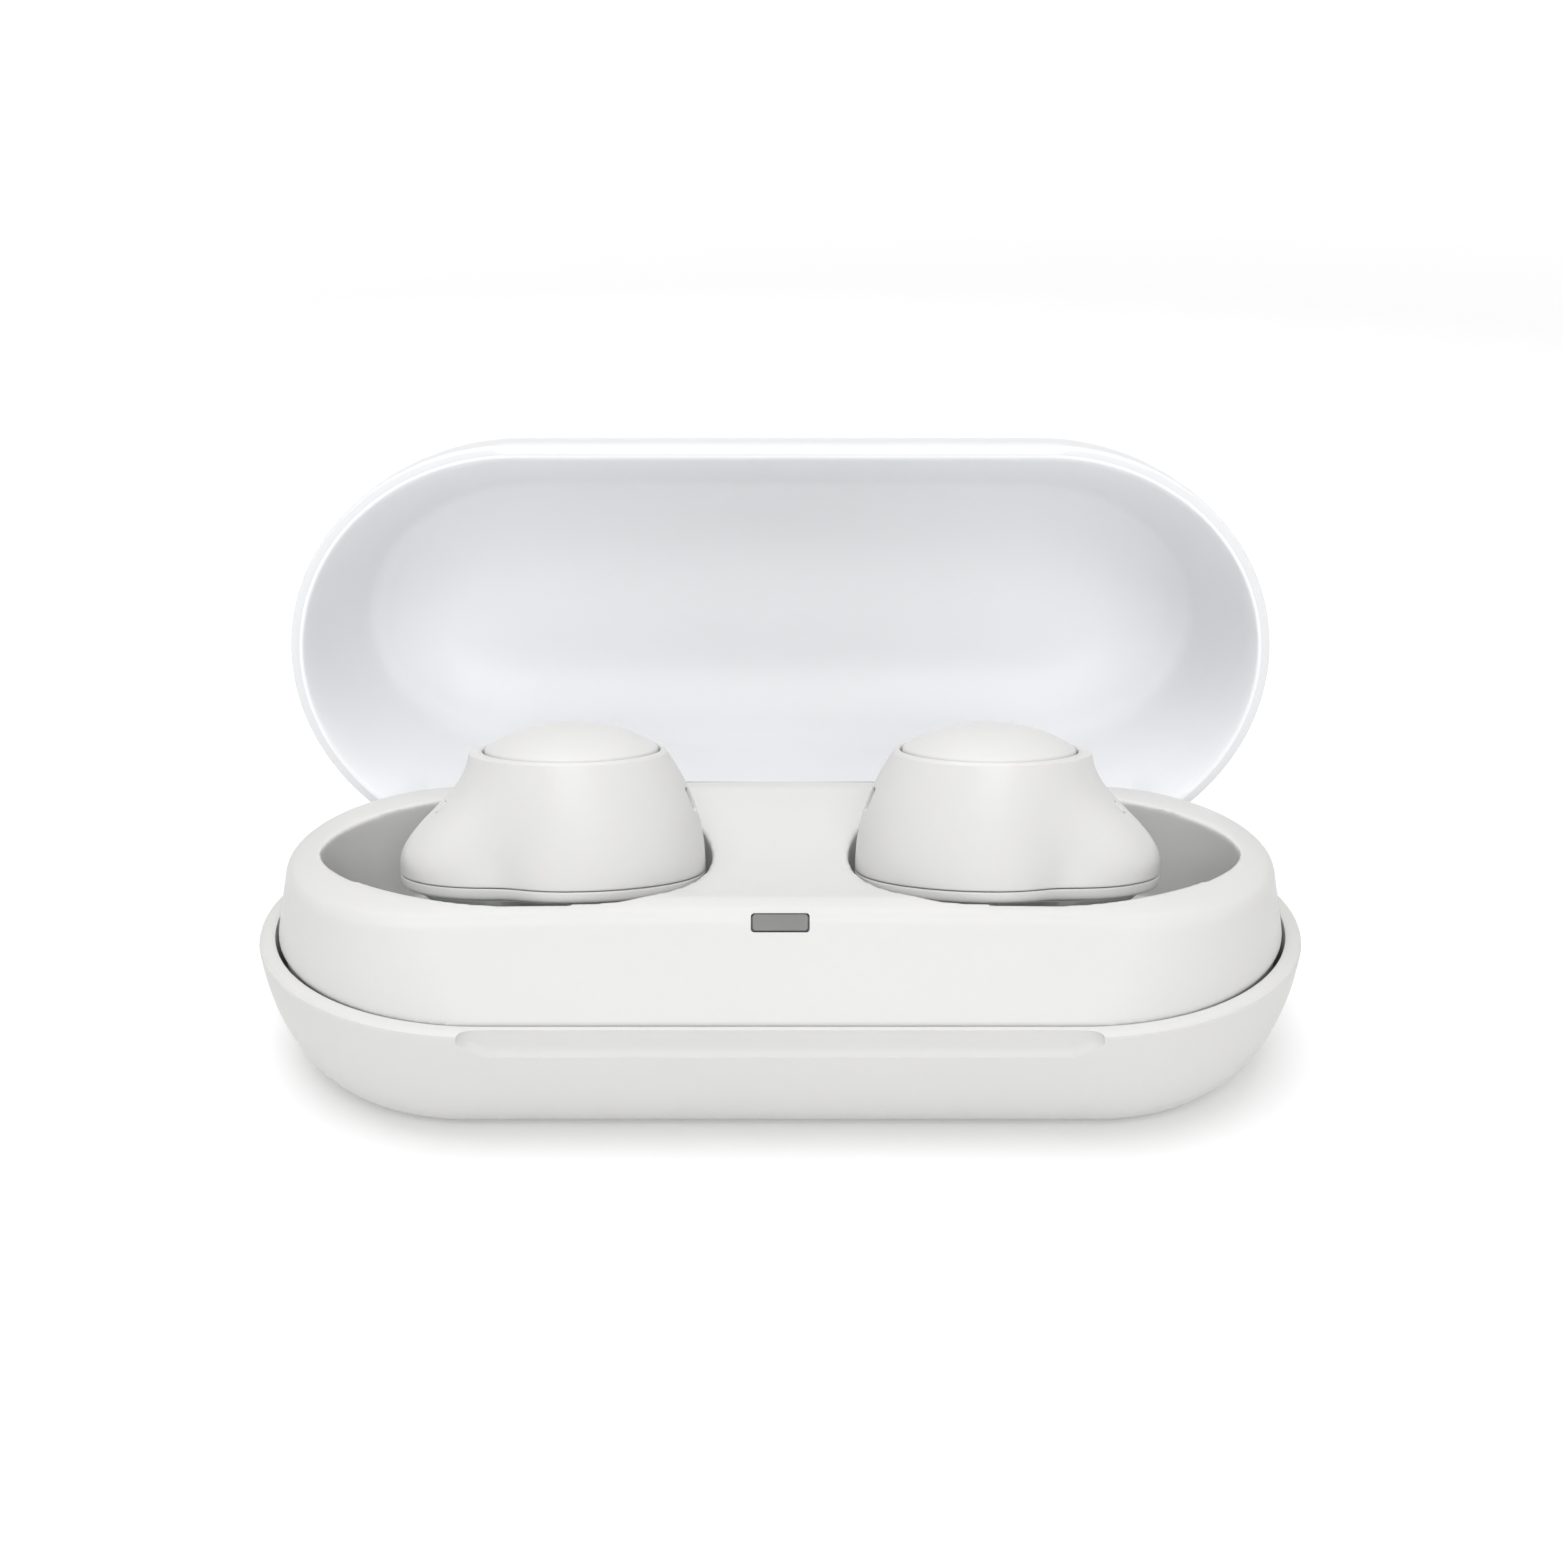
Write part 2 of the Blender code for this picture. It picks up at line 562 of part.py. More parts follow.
def lid(axis, finishes):
    outside = dome(LID_HEIGHT, 0.0, 0.0, 9)
    inside = dome(LID_HEIGHT - LID_WALL, 0.0, LID_WALL, 14)
    edge = [(0.0, 0.3 * MM), (0.25 * MM, 0.0)]
    rings = [lid_ring(h, i) for h, i in outside[:0:-1] + edge[::-1] + inside]
    shell = loft("lid_shell", rings, finishes["lid"], axis)

    liner_in = [(height * MM, inset * MM, ends * MM) for height, inset, ends in (
        (0.5, 1.5, 1.2), (2.6, 2.2, 1.6), (7.0, 3.1, 2.25), (11.0, 4.5, 3.2), (13.2, 5.4, 4.0), (14.3, 6.5, 4.9),
        (15.6, 8.3, 6.4), (16.8, 10.8, 8.6), (17.7, 13.4, 11.0), (18.2, 15.6, 13.2))]
    low_wall = [(height, inset, inset) for height, inset in
                dome(LID_HEIGHT - LID_WALL - FIT, LINER_EDGE, LID_WALL + FIT, 8) if height < 9.0 * MM]
    liner_out = low_wall + thickened(liner_in, LINER_WALL)[3:]
    rings = [lid_ring(*sizes) for sizes in liner_out[::-1] + liner_in]
    liner = loft("lid_liner", rings, finishes["liner"], axis)

    notch = [(y * MM - HINGE_Y, z) for y, z in (
        (12.0, -1.0 * MM), (20.0, -1.0 * MM), (20.0, NOTCH_HEIGHT), (12.0, NOTCH_HEIGHT))]
    notch_cutter = helper(extruded("lid_notch", notch, -NOTCH_HALF_LENGTH, NOTCH_HALF_LENGTH, None, axis))
    boolean(shell, notch_cutter)
    boolean(liner, notch_cutter)
    cove = cove_cutter("lid_cove_cutter", 1.3 * MM, 0.5 * MM, 0.0, -HALF_DEPTH - HINGE_Y, axis)
    boolean(shell, cove)
    for name, side in SIDES.items():
        place_x, y_low, y_high = side * 20.0 * MM, -16.15 * MM - HINGE_Y, -15.7 * MM - HINGE_Y
        pocket = slab(f"magnet_pocket_{name}", 2.65 * MM, 0.5 * MM, 3.05 * MM, 5.75 * MM, 0.2 * MM, None,
                      x=place_x, y=y_high - 0.42 * MM, parent=axis)
        boolean(liner, helper(pocket))
        slab(f"lid_magnet_{name}", 2.5 * MM, (y_high - y_low) / 2, 3.2 * MM, 5.6 * MM, 0.15 * MM,
             finishes["magnet"], x=place_x, y=(y_low + y_high) / 2, parent=axis)
    lid_bracket(axis, finishes["black"])


def lid_bracket(axis, finish):
    """Two knuckles on the pin, joined by a plate that backs onto the lid's rear wall."""
    outline = knuckle_outline(KNUCKLE_RADIUS - 0.1 * MM, {
        "from": 75, "to": -230, "points": [(-0.75, 2.6), (-1.35, 5.0), (-1.9, 7.4), (-0.95, 7.4),
                                           (-0.35, 5.0), (-0.15, 3.2)],
    })
    bracket = extruded("lid_hinge_bracket", outline, -LID_KNUCKLE_END, LID_KNUCKLE_END, finish, axis)
    gap_outline = [(y * MM, z * MM) for y, z in ((-3.0, -3.0), (3.0, -3.0), (3.0, 2.7), (-3.0, 2.7))]
    boolean(bracket, helper(extruded("knuckle_gap", gap_outline, -2.3 * MM, 2.3 * MM, None, axis)))
    boolean(bracket, pin_bore("lid_bore", axis))


# ---------------------------------------------------------------- earbuds (drawn upright)

def bud_radius(angle, depth):
    """Reach of the earbud's outline at an angle from its lobe side; depth is 0 at the top, 1 at the seam."""
    flare = 1 - (1 - depth) ** 2.2
    half_y = (7.0 + 0.8 * flare) * MM
    half_x = (7.0 + 3.0 * flare) * MM if math.cos(angle) < 0 else half_y
    body = 1 / math.hypot(math.cos(angle) / half_x, math.sin(angle) / half_y)
    reach = half_y + (LOBE_REACH - half_y) * smoothstep((depth - 0.06) / 0.86)
    lobe_radius = (5.0 + 1.3 * depth) * MM
    centre = reach - lobe_radius
    spread = lobe_radius ** 2 - (centre * math.sin(angle)) ** 2
    if math.cos(angle) <= 0 or spread <= 0:
        return body
    lobe = max(centre * math.cos(angle) + math.sqrt(spread), 0.0)
    return (body ** 8 + lobe ** 8) ** 0.125


def bud_ring(side, depth, inset=0.0, z=None):
    ring = []
    for i in range(BUD_STEPS):
        angle = 2 * math.pi * i / BUD_STEPS
        radius = bud_radius(angle, depth) - inset
        x, y = side * radius * math.cos(angle), radius * math.sin(angle)
        ring.append(Vector((x, y, SEAM * depth if z is None else z)))
    return ring


def bud_circle(side, radius, z):
    ring = circle(radius, z, steps=BUD_STEPS)
    return [Vector((side * p.x, p.y, p.z)) for p in ring]


def outer_housing(name, side, parent, finish):
    depths = [1.0, 0.8, 0.6, 0.46, 0.34, 0.23, 0.13, 0.05]
    rings = [bud_ring(side, depth) for depth in depths]
    rings += [bud_circle(side, r * MM, z * MM) for r, z in (
        (6.85, -0.02), (6.7, -0.1), (6.7, -1.3), (5.4, -1.3), (5.4, -2.1))]
    rings += [bud_ring(side, depth, BUD_WALL) for depth in (0.26, 0.4, 0.6, 0.8, 1.0)]
    housing = loft(f"outer_housing_{name}", rings, finish, parent, loop=True)
    slit = mic_slit(f"mic_slit_{name}", side, 0.0, None, parent)
    boolean(housing, helper(slit))


def mic_slit(name, side, shrink, finish, parent):
    """Upright slot high on the inward side of the earbud."""
    ring = rounded(0.45 * MM - shrink, 0.95 * MM - shrink, 0.3 * MM - shrink / 2, 0.0)
    low, high = (8.05 * MM, 8.6 * MM) if finish else (7.9 * MM, 12.0 * MM)
    rings = [[Vector((-side * x, p.x - 0.8 * MM, p.y - 3.7 * MM)) for p in ring] for x in (low, high)]
    return loft(name, rings, finish, parent)


def button_cap(name, side, parent, finish):
    rings = [bud_circle(side, r * MM, z * MM) for r, z in (
        (2.0, -2.4), (2.0, -0.9), (6.3, -0.9), (6.5, -0.75), (6.5, -0.2), (6.3, 0.1))]
    for i in range(1, 5):
        share = 1 - i / 5
        radius = 6.3 * MM * share
        rings.append(bud_circle(side, radius, 0.1 * MM + (BUTTON_RISE - 0.1 * MM) * (1 - share ** 2.6)))
    loft(f"button_cap_{name}", rings, finish, parent)


def inner_housing(name, side, parent, finish):
    under = [(1.0, 0.0), (1.6, 0.55), (2.6, 1.9), (3.4, 3.5), (4.2, 4.6), (5.0, 5.2), (BOWL_DEPTH / MM, 5.7)]
    under = [(0.0, 0.12), (0.45, 0.0)] + under
    top = SEAM - FIT
    rings = [bud_ring(side, 1.0, inset * MM, SEAM - down * MM) for down, inset in under[:0:-1]]
    rings.append(bud_ring(side, 1.0, 0.12 * MM, top))
    rings += [
        bud_ring(side, 1.0, inset * MM, SEAM - down * MM)
        for down, inset in ((0.15, 1.0), (1.2, 1.1), (2.0, 2.1), (2.9, 3.9), (3.7, 5.0), (4.4, 6.0))
    ]
    housing = loft(f"inner_housing_{name}", rings, finish, parent)
    axis = nozzle_axis(side)
    tube = turned(f"nozzle_{name}", [
        (NOZZLE_RADIUS + 0.5 * MM, 1.2 * MM), (NOZZLE_RADIUS, 3.4 * MM), (NOZZLE_RADIUS, 7.6 * MM),
        (NOZZLE_RADIUS - 0.3 * MM, NOZZLE_LENGTH),
    ], None, parent, axis)
    boolean(housing, helper(tube), "UNION")
    bore = turned(f"nozzle_bore_{name}", [(1.85 * MM, 0.6 * MM), (1.85 * MM, 10.0 * MM)], None, parent, axis)
    boolean(housing, helper(bore))


def nozzle_axis(side):
    """Matrix that puts +Z along the nozzle, out of the earbud."""
    start = Vector((side * NOZZLE_START.x, 0.0, NOZZLE_START.z))
    return Matrix.Translation(start) @ Matrix.Rotation(math.pi - side * NOZZLE_ANGLE, 4, "Y")


def ear_tip(name, side, parent, finish):
    profile = [
        (2.62, 4.9), (2.62, 9.7), (3.0, 10.0), (3.7, 9.8), (4.5, 8.9), (5.0, 7.5), (5.2, 6.0), (5.1, 4.9),
        (4.6, 4.95), (4.65, 6.0), (4.4, 7.2), (3.8, 8.2), (3.3, 8.3), (3.3, 4.9),
    ]
    turned(f"ear_tip_{name}", [(r * MM, s * MM) for r, s in profile], finish, parent,
           nozzle_axis(side), loop=True)


def bud_inside(name, side, parent, finishes):
    """Board, switch, cell, driver, magnet and charging pads."""
    def disc(piece, radius, low, high, finish, x=0.0, y=0.0):
        at = Matrix.Translation((side * x * MM, y * MM, 0.0))
        turned(f"{piece}_{name}", [(radius * MM, low * MM), (radius * MM, high * MM)], finish, parent, at)

    disc("bud_board", 6.0, -4.3, -3.6, finishes["board"])
    slab(f"tact_switch_{name}", 1.5 * MM, 1.5 * MM, -3.52 * MM, -2.75 * MM, 0.3 * MM, finishes["steel"],
         parent=parent)
    disc("bud_battery", 5.8, -9.6, -4.5, finishes["steel"])
    disc("bud_magnet", 1.9, -12.6, -11.5, finishes["magnet"], y=0.4)
    turned(f"speaker_driver_{name}", [(2.7 * MM, -0.75 * MM), (2.7 * MM, 0.45 * MM)], finishes["black"],
           parent, nozzle_axis(side))
    turned(f"nozzle_mesh_{name}", [(1.75 * MM, 8.3 * MM), (1.75 * MM, 8.5 * MM)], finishes["steel"],
           parent, nozzle_axis(side))
    mic_slit(f"mic_mesh_{name}", side, FIT, finishes["black"], parent)
    low = SEAM - BOWL_DEPTH - 0.25 * MM
    for number, x in enumerate(PAD_PLACES, 1):
        at = Matrix.Translation((-side * x, 0.0, 0.0))
        turned(f"charge_pad_{name}_{number}", [(0.85 * MM, low), (0.85 * MM, low + 0.2 * MM)],
               finishes["gold"], parent, at, steps=16)


def contact_block(name, side, parent, finishes):
    """Block in the well's floor that carries the two spring pins."""
    top = SEAM - BOWL_DEPTH - 1.3 * MM
    bottom = top - 2.0 * MM
    middle = -side * sum(PAD_PLACES) / 2
    block = slab(f"contact_block_{name}", 2.9 * MM, 1.7 * MM, bottom, top, 0.5 * MM, finishes["black"],
                 x=middle, parent=parent)
    for number, x in enumerate(PAD_PLACES, 1):
        at = Matrix.Translation((-side * x, 0.0, 0.0))
        bore = turned(f"pin_bore_{name}_{number}", [(0.58 * MM, bottom + 0.3 * MM), (0.58 * MM, top + 1 * MM)],
                      None, parent, at, steps=16)
        boolean(block, helper(bore))
        tip = SEAM - BOWL_DEPTH - 0.4 * MM
        turned(f"spring_pin_{name}_{number}", [
            (0.45 * MM, tip - 1.9 * MM), (0.45 * MM, tip - 0.25 * MM), (0.35 * MM, tip - 0.08 * MM),
            (0.15 * MM, tip),
        ], finishes["gold"], parent, at, steps=16)
    hole = slab(f"block_hole_{name}", 2.9 * MM + FIT, 1.7 * MM + FIT, bottom - 1 * MM, top + 1 * MM,
                0.5 * MM, None, x=middle, parent=parent)
    return helper(hole)


# ---------------------------------------------------------------- build

def clear_scene():
    for obj in list(bpy.data.objects):
        bpy.data.objects.remove(obj, do_unlink=True)


def make_finishes():
    return {
        "body": material("Satin white plastic", (0.83, 0.83, 0.81), 0.42),
        "lid": material("Frosted white plastic", (0.82, 0.83, 0.86), 0.35),
        "liner": material("Lid liner plastic", (0.80, 0.81, 0.84), 0.3),
        "silicone": material("White silicone", (0.78, 0.78, 0.77), 0.6),
        "window": material("Smoked window", (0.2, 0.2, 0.2), 0.3),
        "black": material("Black nylon", (0.02, 0.02, 0.02), 0.5),
        "steel": material("Nickel plated steel", (0.6, 0.6, 0.62), 0.3, 1.0),
        "gold": material("Gold plating", (0.85, 0.6, 0.25), 0.25, 1.0),
        "board": material("Green circuit board", (0.02, 0.16, 0.07), 0.4),
        "foam": material("Grey foam tape", (0.25, 0.25, 0.25), 0.9),
        "cell": material("Cell wrapper", (0.35, 0.37, 0.4), 0.35),
        "led": material("Light emitter", (0.8, 0.75, 0.5), 0.3),
        "magnet": material("Magnet plating", (0.45, 0.45, 0.47), 0.35, 1.0),
        "flex": material("Amber film", (0.55, 0.25, 0.04), 0.35),
    }


def main():
    clear_scene()
    finishes = make_finishes()
    lower_shell(finishes["body"])
    frame = inner_frame(finishes["body"])
    led_block("led_window", 0.0, finishes["window"])
    base_electronics(finishes)
    usb_port(finishes)
    base_magnets(finishes["magnet"])

    hinge_at = (0.0, HINGE_Y, HINGE_Z)
    hinge(empty("hinge_fixed", hinge_at, 0.0), finishes)
    lid(empty("lid_axis", hinge_at, -OPEN_ANGLE), finishes)

    for name, side in SIDES.items():
        flex_cable(f"flex_cable_{name}", side, finishes["flex"])
        place_at = (side * BUD_X, BUD_Y, BUD_Z)
        seat = empty(f"seat_{name}", place_at, -BUD_LEAN)
        boolean(frame, contact_block(name, side, seat, finishes))
        bud = empty(f"bud_{name}", place_at, -BUD_LEAN)
        outer_housing(name, side, bud, finishes["body"])
        inner_housing(name, side, bud, finishes["body"])
        button_cap(name, side, bud, finishes["body"])
        ear_tip(name, side, bud, finishes["silicone"])
        bud_inside(name, side, bud, finishes)


main()
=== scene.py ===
"""Looks of the wireless earbuds case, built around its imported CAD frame.

Lengths are in metres in the CAD's own frame: the origin is the middle of the case's underside, -Y is
its front and +Z is up. The lid is drawn shut on the rim and each earbud upright from the middle of
its button; a matrix then puts each of them where the CAD holds it at rest. Profiles, and the sizes
marked so, are lists of plain millimetres.
"""

import json
import math

import bmesh
import bpy
from mathutils import Matrix, Vector


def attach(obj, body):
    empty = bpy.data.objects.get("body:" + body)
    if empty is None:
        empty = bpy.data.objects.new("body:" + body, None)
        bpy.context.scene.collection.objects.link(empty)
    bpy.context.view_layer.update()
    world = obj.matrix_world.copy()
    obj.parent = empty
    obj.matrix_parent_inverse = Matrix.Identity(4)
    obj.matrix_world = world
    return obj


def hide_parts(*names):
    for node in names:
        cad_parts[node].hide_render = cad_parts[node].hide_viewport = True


MM = 0.001

# Sizes shared with the CAD
HALF_LENGTH = 40.0 * MM
HALF_DEPTH = 17.45 * MM
STRAIGHT = 21.1 * MM
RIM_Z = 10.4 * MM
DECK_Z = 16.7 * MM
HINGE = Vector((0.0, 15.0, 10.4)) * MM
OPEN_ANGLE = math.radians(95.9)
BUD_X = 15.65 * MM
BUD_Y = 0.82 * MM
BUD_Z = 24.18 * MM
BUD_LEAN = math.radians(15.0)
SEAM = -9.2 * MM
BOWL_DEPTH = 5.4 * MM
NOZZLE_START = Vector((7.0, 0.0, -10.5)) * MM
NOZZLE_ANGLE = math.radians(25.0)
SIDES = {"left": -1, "right": 1}

# Lid, in millimetres: height over the rim, how far its wall turns in at the top, and its roundness
LID_HEIGHT = 20.5
LID_TURN_IN = 14.5
LID_POWER = 2.3

# Notch in the lid's rear edge, in millimetres
NOTCH_HALF_LENGTH = 31.0
NOTCH_HEIGHT = 2.95
NOTCH_FADE = 7.4

# Lower shell, in millimetres: where its rounded rim ends below the rim plane
RIM_ROUND = 0.55

# Finger cove
COVE_HALF_LENGTH = 22.7 * MM
COVE_INSET = 0.78 * MM

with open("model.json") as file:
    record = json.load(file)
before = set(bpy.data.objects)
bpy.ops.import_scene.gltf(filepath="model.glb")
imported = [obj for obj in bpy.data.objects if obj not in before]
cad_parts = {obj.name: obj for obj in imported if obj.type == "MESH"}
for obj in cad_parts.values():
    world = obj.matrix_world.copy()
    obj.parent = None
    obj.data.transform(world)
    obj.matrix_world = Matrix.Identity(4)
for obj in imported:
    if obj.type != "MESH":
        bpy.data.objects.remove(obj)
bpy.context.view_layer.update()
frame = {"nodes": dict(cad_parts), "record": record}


# ---------------------------------------------------------------- materials

def node(tree, kind, **inputs):
    made = tree.nodes.new(kind)
    for name, value in inputs.items():
        made.inputs[name.replace("_", " ")].default_value = value
    return made


def surface(name, colour, roughness, metallic=0.0, **sockets):
    """Principled material; sockets are set by name with _ for a space."""
    made = bpy.data.materials.new(name)
    made.use_nodes = True
    shader = made.node_tree.nodes["Principled BSDF"]
    shader.inputs["Base Color"].default_value = (*colour, 1.0)
    shader.inputs["Roughness"].default_value = roughness
    shader.inputs["Metallic"].default_value = metallic
    for socket, value in sockets.items():
        shader.inputs[socket.replace("_", " ")].default_value = value
    return made


def coordinates(tree, scale=(1.0, 1.0, 1.0)):
    """Object coordinates, stretched by scale."""
    source = tree.nodes.new("ShaderNodeTexCoord")
    mapping = node(tree, "ShaderNodeMapping", Scale=scale)
    tree.links.new(source.outputs["Object"], mapping.inputs["Vector"])
    return mapping.outputs["Vector"]


def noise(tree, vector, scale, detail=2.0, roughness=0.5):
    made = node(tree, "ShaderNodeTexNoise", Scale=scale, Detail=detail, Roughness=roughness)
    tree.links.new(vector, made.inputs["Vector"])
    return made.outputs["Fac"]


def spread(tree, value, low, high, from_low=0.3, from_high=0.7):
    """Map a texture's value onto low to high."""
    made = node(tree, "ShaderNodeMapRange", From_Min=from_low, From_Max=from_high, To_Min=low, To_Max=high)
    tree.links.new(value, made.inputs["Value"])
    return made.outputs["Result"]


def add_grain(material, scale, depth, roughness=None, mottle=0.0, mottle_scale=60.0,
              stretch=(1.0, 1.0, 1.0)):
    """Fine relief, with a roughness range and a faint drift of colour where asked for."""
    tree = material.node_tree
    shader = tree.nodes["Principled BSDF"]
    vector = coordinates(tree, stretch)
    fine = noise(tree, vector, scale, 3.0, 0.6)
    bump = node(tree, "ShaderNodeBump", Strength=0.6, Distance=depth)
    tree.links.new(fine, bump.inputs["Height"])
    tree.links.new(bump.outputs["Normal"], shader.inputs["Normal"])
    if roughness:
        patch = noise(tree, vector, scale * 0.13, 2.0, 0.5)
        tree.links.new(spread(tree, patch, *roughness), shader.inputs["Roughness"])
    if mottle:
        colour = shader.inputs["Base Color"].default_value[:]
        drift = noise(tree, vector, mottle_scale, 3.0, 0.5)
        mix = tree.nodes.new("ShaderNodeMix")
        mix.data_type = "RGBA"
        dark = [c * (1.0 - mottle) for c in colour[:3]]
        mix.inputs["A"].default_value = (*dark, 1.0)
        mix.inputs["B"].default_value = colour
        tree.links.new(spread(tree, drift, 0.0, 1.0), mix.inputs["Factor"])
        tree.links.new(mix.outputs["Result"], shader.inputs["Base Color"])
    return material


def make_board():
    """Green solder mask over a grid of paler tracks."""
    material = surface("Solder mask", (0.015, 0.13, 0.05), 0.35, Coat_Weight=0.4)
    tree = material.node_tree
    shader = tree.nodes["Principled BSDF"]
    vector = coordinates(tree)
    brick = node(tree, "ShaderNodeTexBrick", Scale=420.0, Color1=(0.015, 0.13, 0.05, 1),
                 Color2=(0.02, 0.17, 0.07, 1), Mortar=(0.05, 0.26, 0.1, 1), Mortar_Size=0.05)
    tree.links.new(vector, brick.inputs["Vector"])
    tree.links.new(brick.outputs["Color"], shader.inputs["Base Color"])
    bump = node(tree, "ShaderNodeBump", Strength=0.4, Distance=0.00003)
    tree.links.new(brick.outputs["Fac"], bump.inputs["Height"])
    tree.links.new(bump.outputs["Normal"], shader.inputs["Normal"])
    return material


def make_weave(name, colour, pitch):
    """Woven wire or fabric mesh: two crossed waves darken the holes, painted shade for the dark space seen
    through them.
    """
    material = surface(name, colour, 0.4, 0.8)
    tree = material.node_tree
    shader = tree.nodes["Principled BSDF"]
    vector = coordinates(tree)
    heights = []
    for direction in ("X", "Y"):
        wave = node(tree, "ShaderNodeTexWave", Scale=1.0 / pitch)
        wave.bands_direction = direction
        tree.links.new(vector, wave.inputs["Vector"])
        heights.append(wave.outputs["Fac"])
    both = tree.nodes.new("ShaderNodeMath")
    both.operation = "MULTIPLY"
    tree.links.new(heights[0], both.inputs[0])
    tree.links.new(heights[1], both.inputs[1])
    mix = tree.nodes.new("ShaderNodeMix")
    mix.data_type = "RGBA"
    mix.inputs["A"].default_value = (*colour, 1.0)
    # near-black in the holes: painted shade
    mix.inputs["B"].default_value = (0.01, 0.01, 0.01, 1.0)
    tree.links.new(both.outputs["Value"], mix.inputs["Factor"])
    tree.links.new(mix.outputs["Result"], shader.inputs["Base Color"])
    bump = node(tree, "ShaderNodeBump", Strength=0.8, Distance=0.00004)
    tree.links.new(both.outputs["Value"], bump.inputs["Height"])
    tree.links.new(bump.outputs["Normal"], shader.inputs["Normal"])
    return material


def make_finishes():
    body = surface("Satin white plastic", (0.63, 0.63, 0.617), 0.44, Specular_IOR_Level=0.4,
                   Subsurface_Weight=0.08, Subsurface_Scale=0.0008)
    bud = surface("Silk white plastic", (0.657, 0.656, 0.644), 0.4, Specular_IOR_Level=0.42,
                  Subsurface_Weight=0.1, Subsurface_Scale=0.0008)
    lid = surface("Frosted lid plastic", (0.77, 0.777, 0.793), 0.38, Specular_IOR_Level=0.45)
    liner = surface("Lid liner plastic", (0.915, 0.92, 0.938), 0.36, Specular_IOR_Level=0.4)
    silicone = surface("Soft silicone", (0.72, 0.72, 0.71), 0.5, Subsurface_Weight=0.35,
                       Subsurface_Scale=0.0015, Sheen_Weight=0.15, Sheen_Roughness=0.5)
    window = surface("Smoked window", (0.15, 0.15, 0.147), 0.36, Coat_Weight=0.3, Coat_Roughness=0.15)
    black = surface("Black nylon", (0.025, 0.025, 0.027), 0.5)
    steel = surface("Nickel plate", (0.62, 0.61, 0.6), 0.28, 1.0)
    gold = surface("Gold plate", (0.86, 0.6, 0.24), 0.22, 1.0)
    foam = surface("Grey foam", (0.2, 0.2, 0.21), 0.9)
    cell = surface("Cell wrapper", (0.42, 0.44, 0.47), 0.35, 0.6)
    led = surface("Light emitter", (0.85, 0.78, 0.5), 0.3, Coat_Weight=0.6)
    magnet = surface("Magnet plating", (0.5, 0.5, 0.52), 0.3, 1.0)
    flex = surface("Amber film", (0.5, 0.2, 0.03), 0.3, Coat_Weight=0.5)
    can = surface("Cell can", (0.6, 0.6, 0.62), 0.3, 1.0)
    return {
        "body": add_grain(body, 5200.0, 0.000004, (0.4, 0.45), 0.012, 55.0),
        "bud": add_grain(bud, 6400.0, 0.000002, (0.34, 0.38), 0.01, 80.0),
        "lid": add_grain(lid, 1500.0, 0.0000008, (0.31, 0.36), 0.008, 45.0),
        "liner": add_grain(liner, 1200.0, 0.0000006, (0.34, 0.38), 0.006, 40.0),
        "silicone": add_grain(silicone, 3000.0, 0.00002, (0.45, 0.6), 0.04, 200.0),
        "window": add_grain(window, 2500.0, 0.000004, (0.26, 0.36), 0.1, 500.0),
        "black": add_grain(black, 3800.0, 0.000015, (0.42, 0.6), 0.3, 300.0),
        "steel": add_grain(steel, 900.0, 0.000006, (0.2, 0.38), 0.12, 300.0, (0.15, 1.0, 1.0)),
        "gold": add_grain(gold, 1500.0, 0.000005, (0.16, 0.3), 0.1, 600.0),
        "board": make_board(),
        "foam": add_grain(foam, 1600.0, 0.0001, None, 0.3, 900.0),
        "cell": add_grain(cell, 700.0, 0.00002, (0.28, 0.45), 0.12, 120.0),
        "coin_cell": add_grain(can, 1200.0, 0.000008, (0.22, 0.4), 0.1),
        "led": add_grain(led, 2500.0, 0.000004, (0.2, 0.35), 0.1, 800.0),
        "magnet": add_grain(magnet, 1800.0, 0.000008, (0.22, 0.4), 0.15, 400.0),
        "flex": add_grain(flex, 1500.0, 0.000006, (0.22, 0.36), 0.15, 300.0),
        "mesh": make_weave("Woven wire", (0.6, 0.6, 0.62), 0.00045),
        "cloth": make_weave("Acoustic cloth", (0.05, 0.05, 0.055), 0.0003),
    }


# ---------------------------------------------------------------- mesh tools

def place(name, bm, finish, matrix=None, sharp=38.0):
    """Turn a bmesh into a smooth-shaded object with its finish."""
    bmesh.ops.recalc_face_normals(bm, faces=bm.faces)
    mesh = bpy.data.meshes.new(name)
    bm.to_mesh(mesh)
    bm.free()
    if matrix:
        mesh.transform(matrix)
    mesh.shade_smooth()
    mesh.set_sharp_from_angle(angle=math.radians(sharp))
    if finish:
        mesh.materials.append(finish)
    obj = bpy.data.objects.new(name, mesh)
    bpy.context.scene.collection.objects.link(obj)
    return obj


def loft(name, rings, finish, matrix=None, loop=False, sharp=38.0):
    """Skin a run of rings into one closed body: capped at both ends, or joined end to end."""
    bm = bmesh.new()
    grid = [[bm.verts.new(p) for p in ring] for ring in rings]
    count = len(rings[0])
    pairs = list(zip(grid, grid[1:]))
    if loop:
        pairs.append((grid[-1], grid[0]))
    else:
        bm.faces.new(grid[0])
        bm.faces.new(grid[-1])
    for lower, upper in pairs:
        for i in range(count):
            j = (i + 1) % count
            bm.faces.new((lower[i], lower[j], upper[j], upper[i]))
    return place(name, bm, finish, matrix, sharp)


def keep(obj, body, slot, *replaced):
    """Ride a finished piece on its body, in place of CAD nodes; slot is not used."""
    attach(obj, body)
    if replaced:
        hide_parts(*replaced)
    return obj


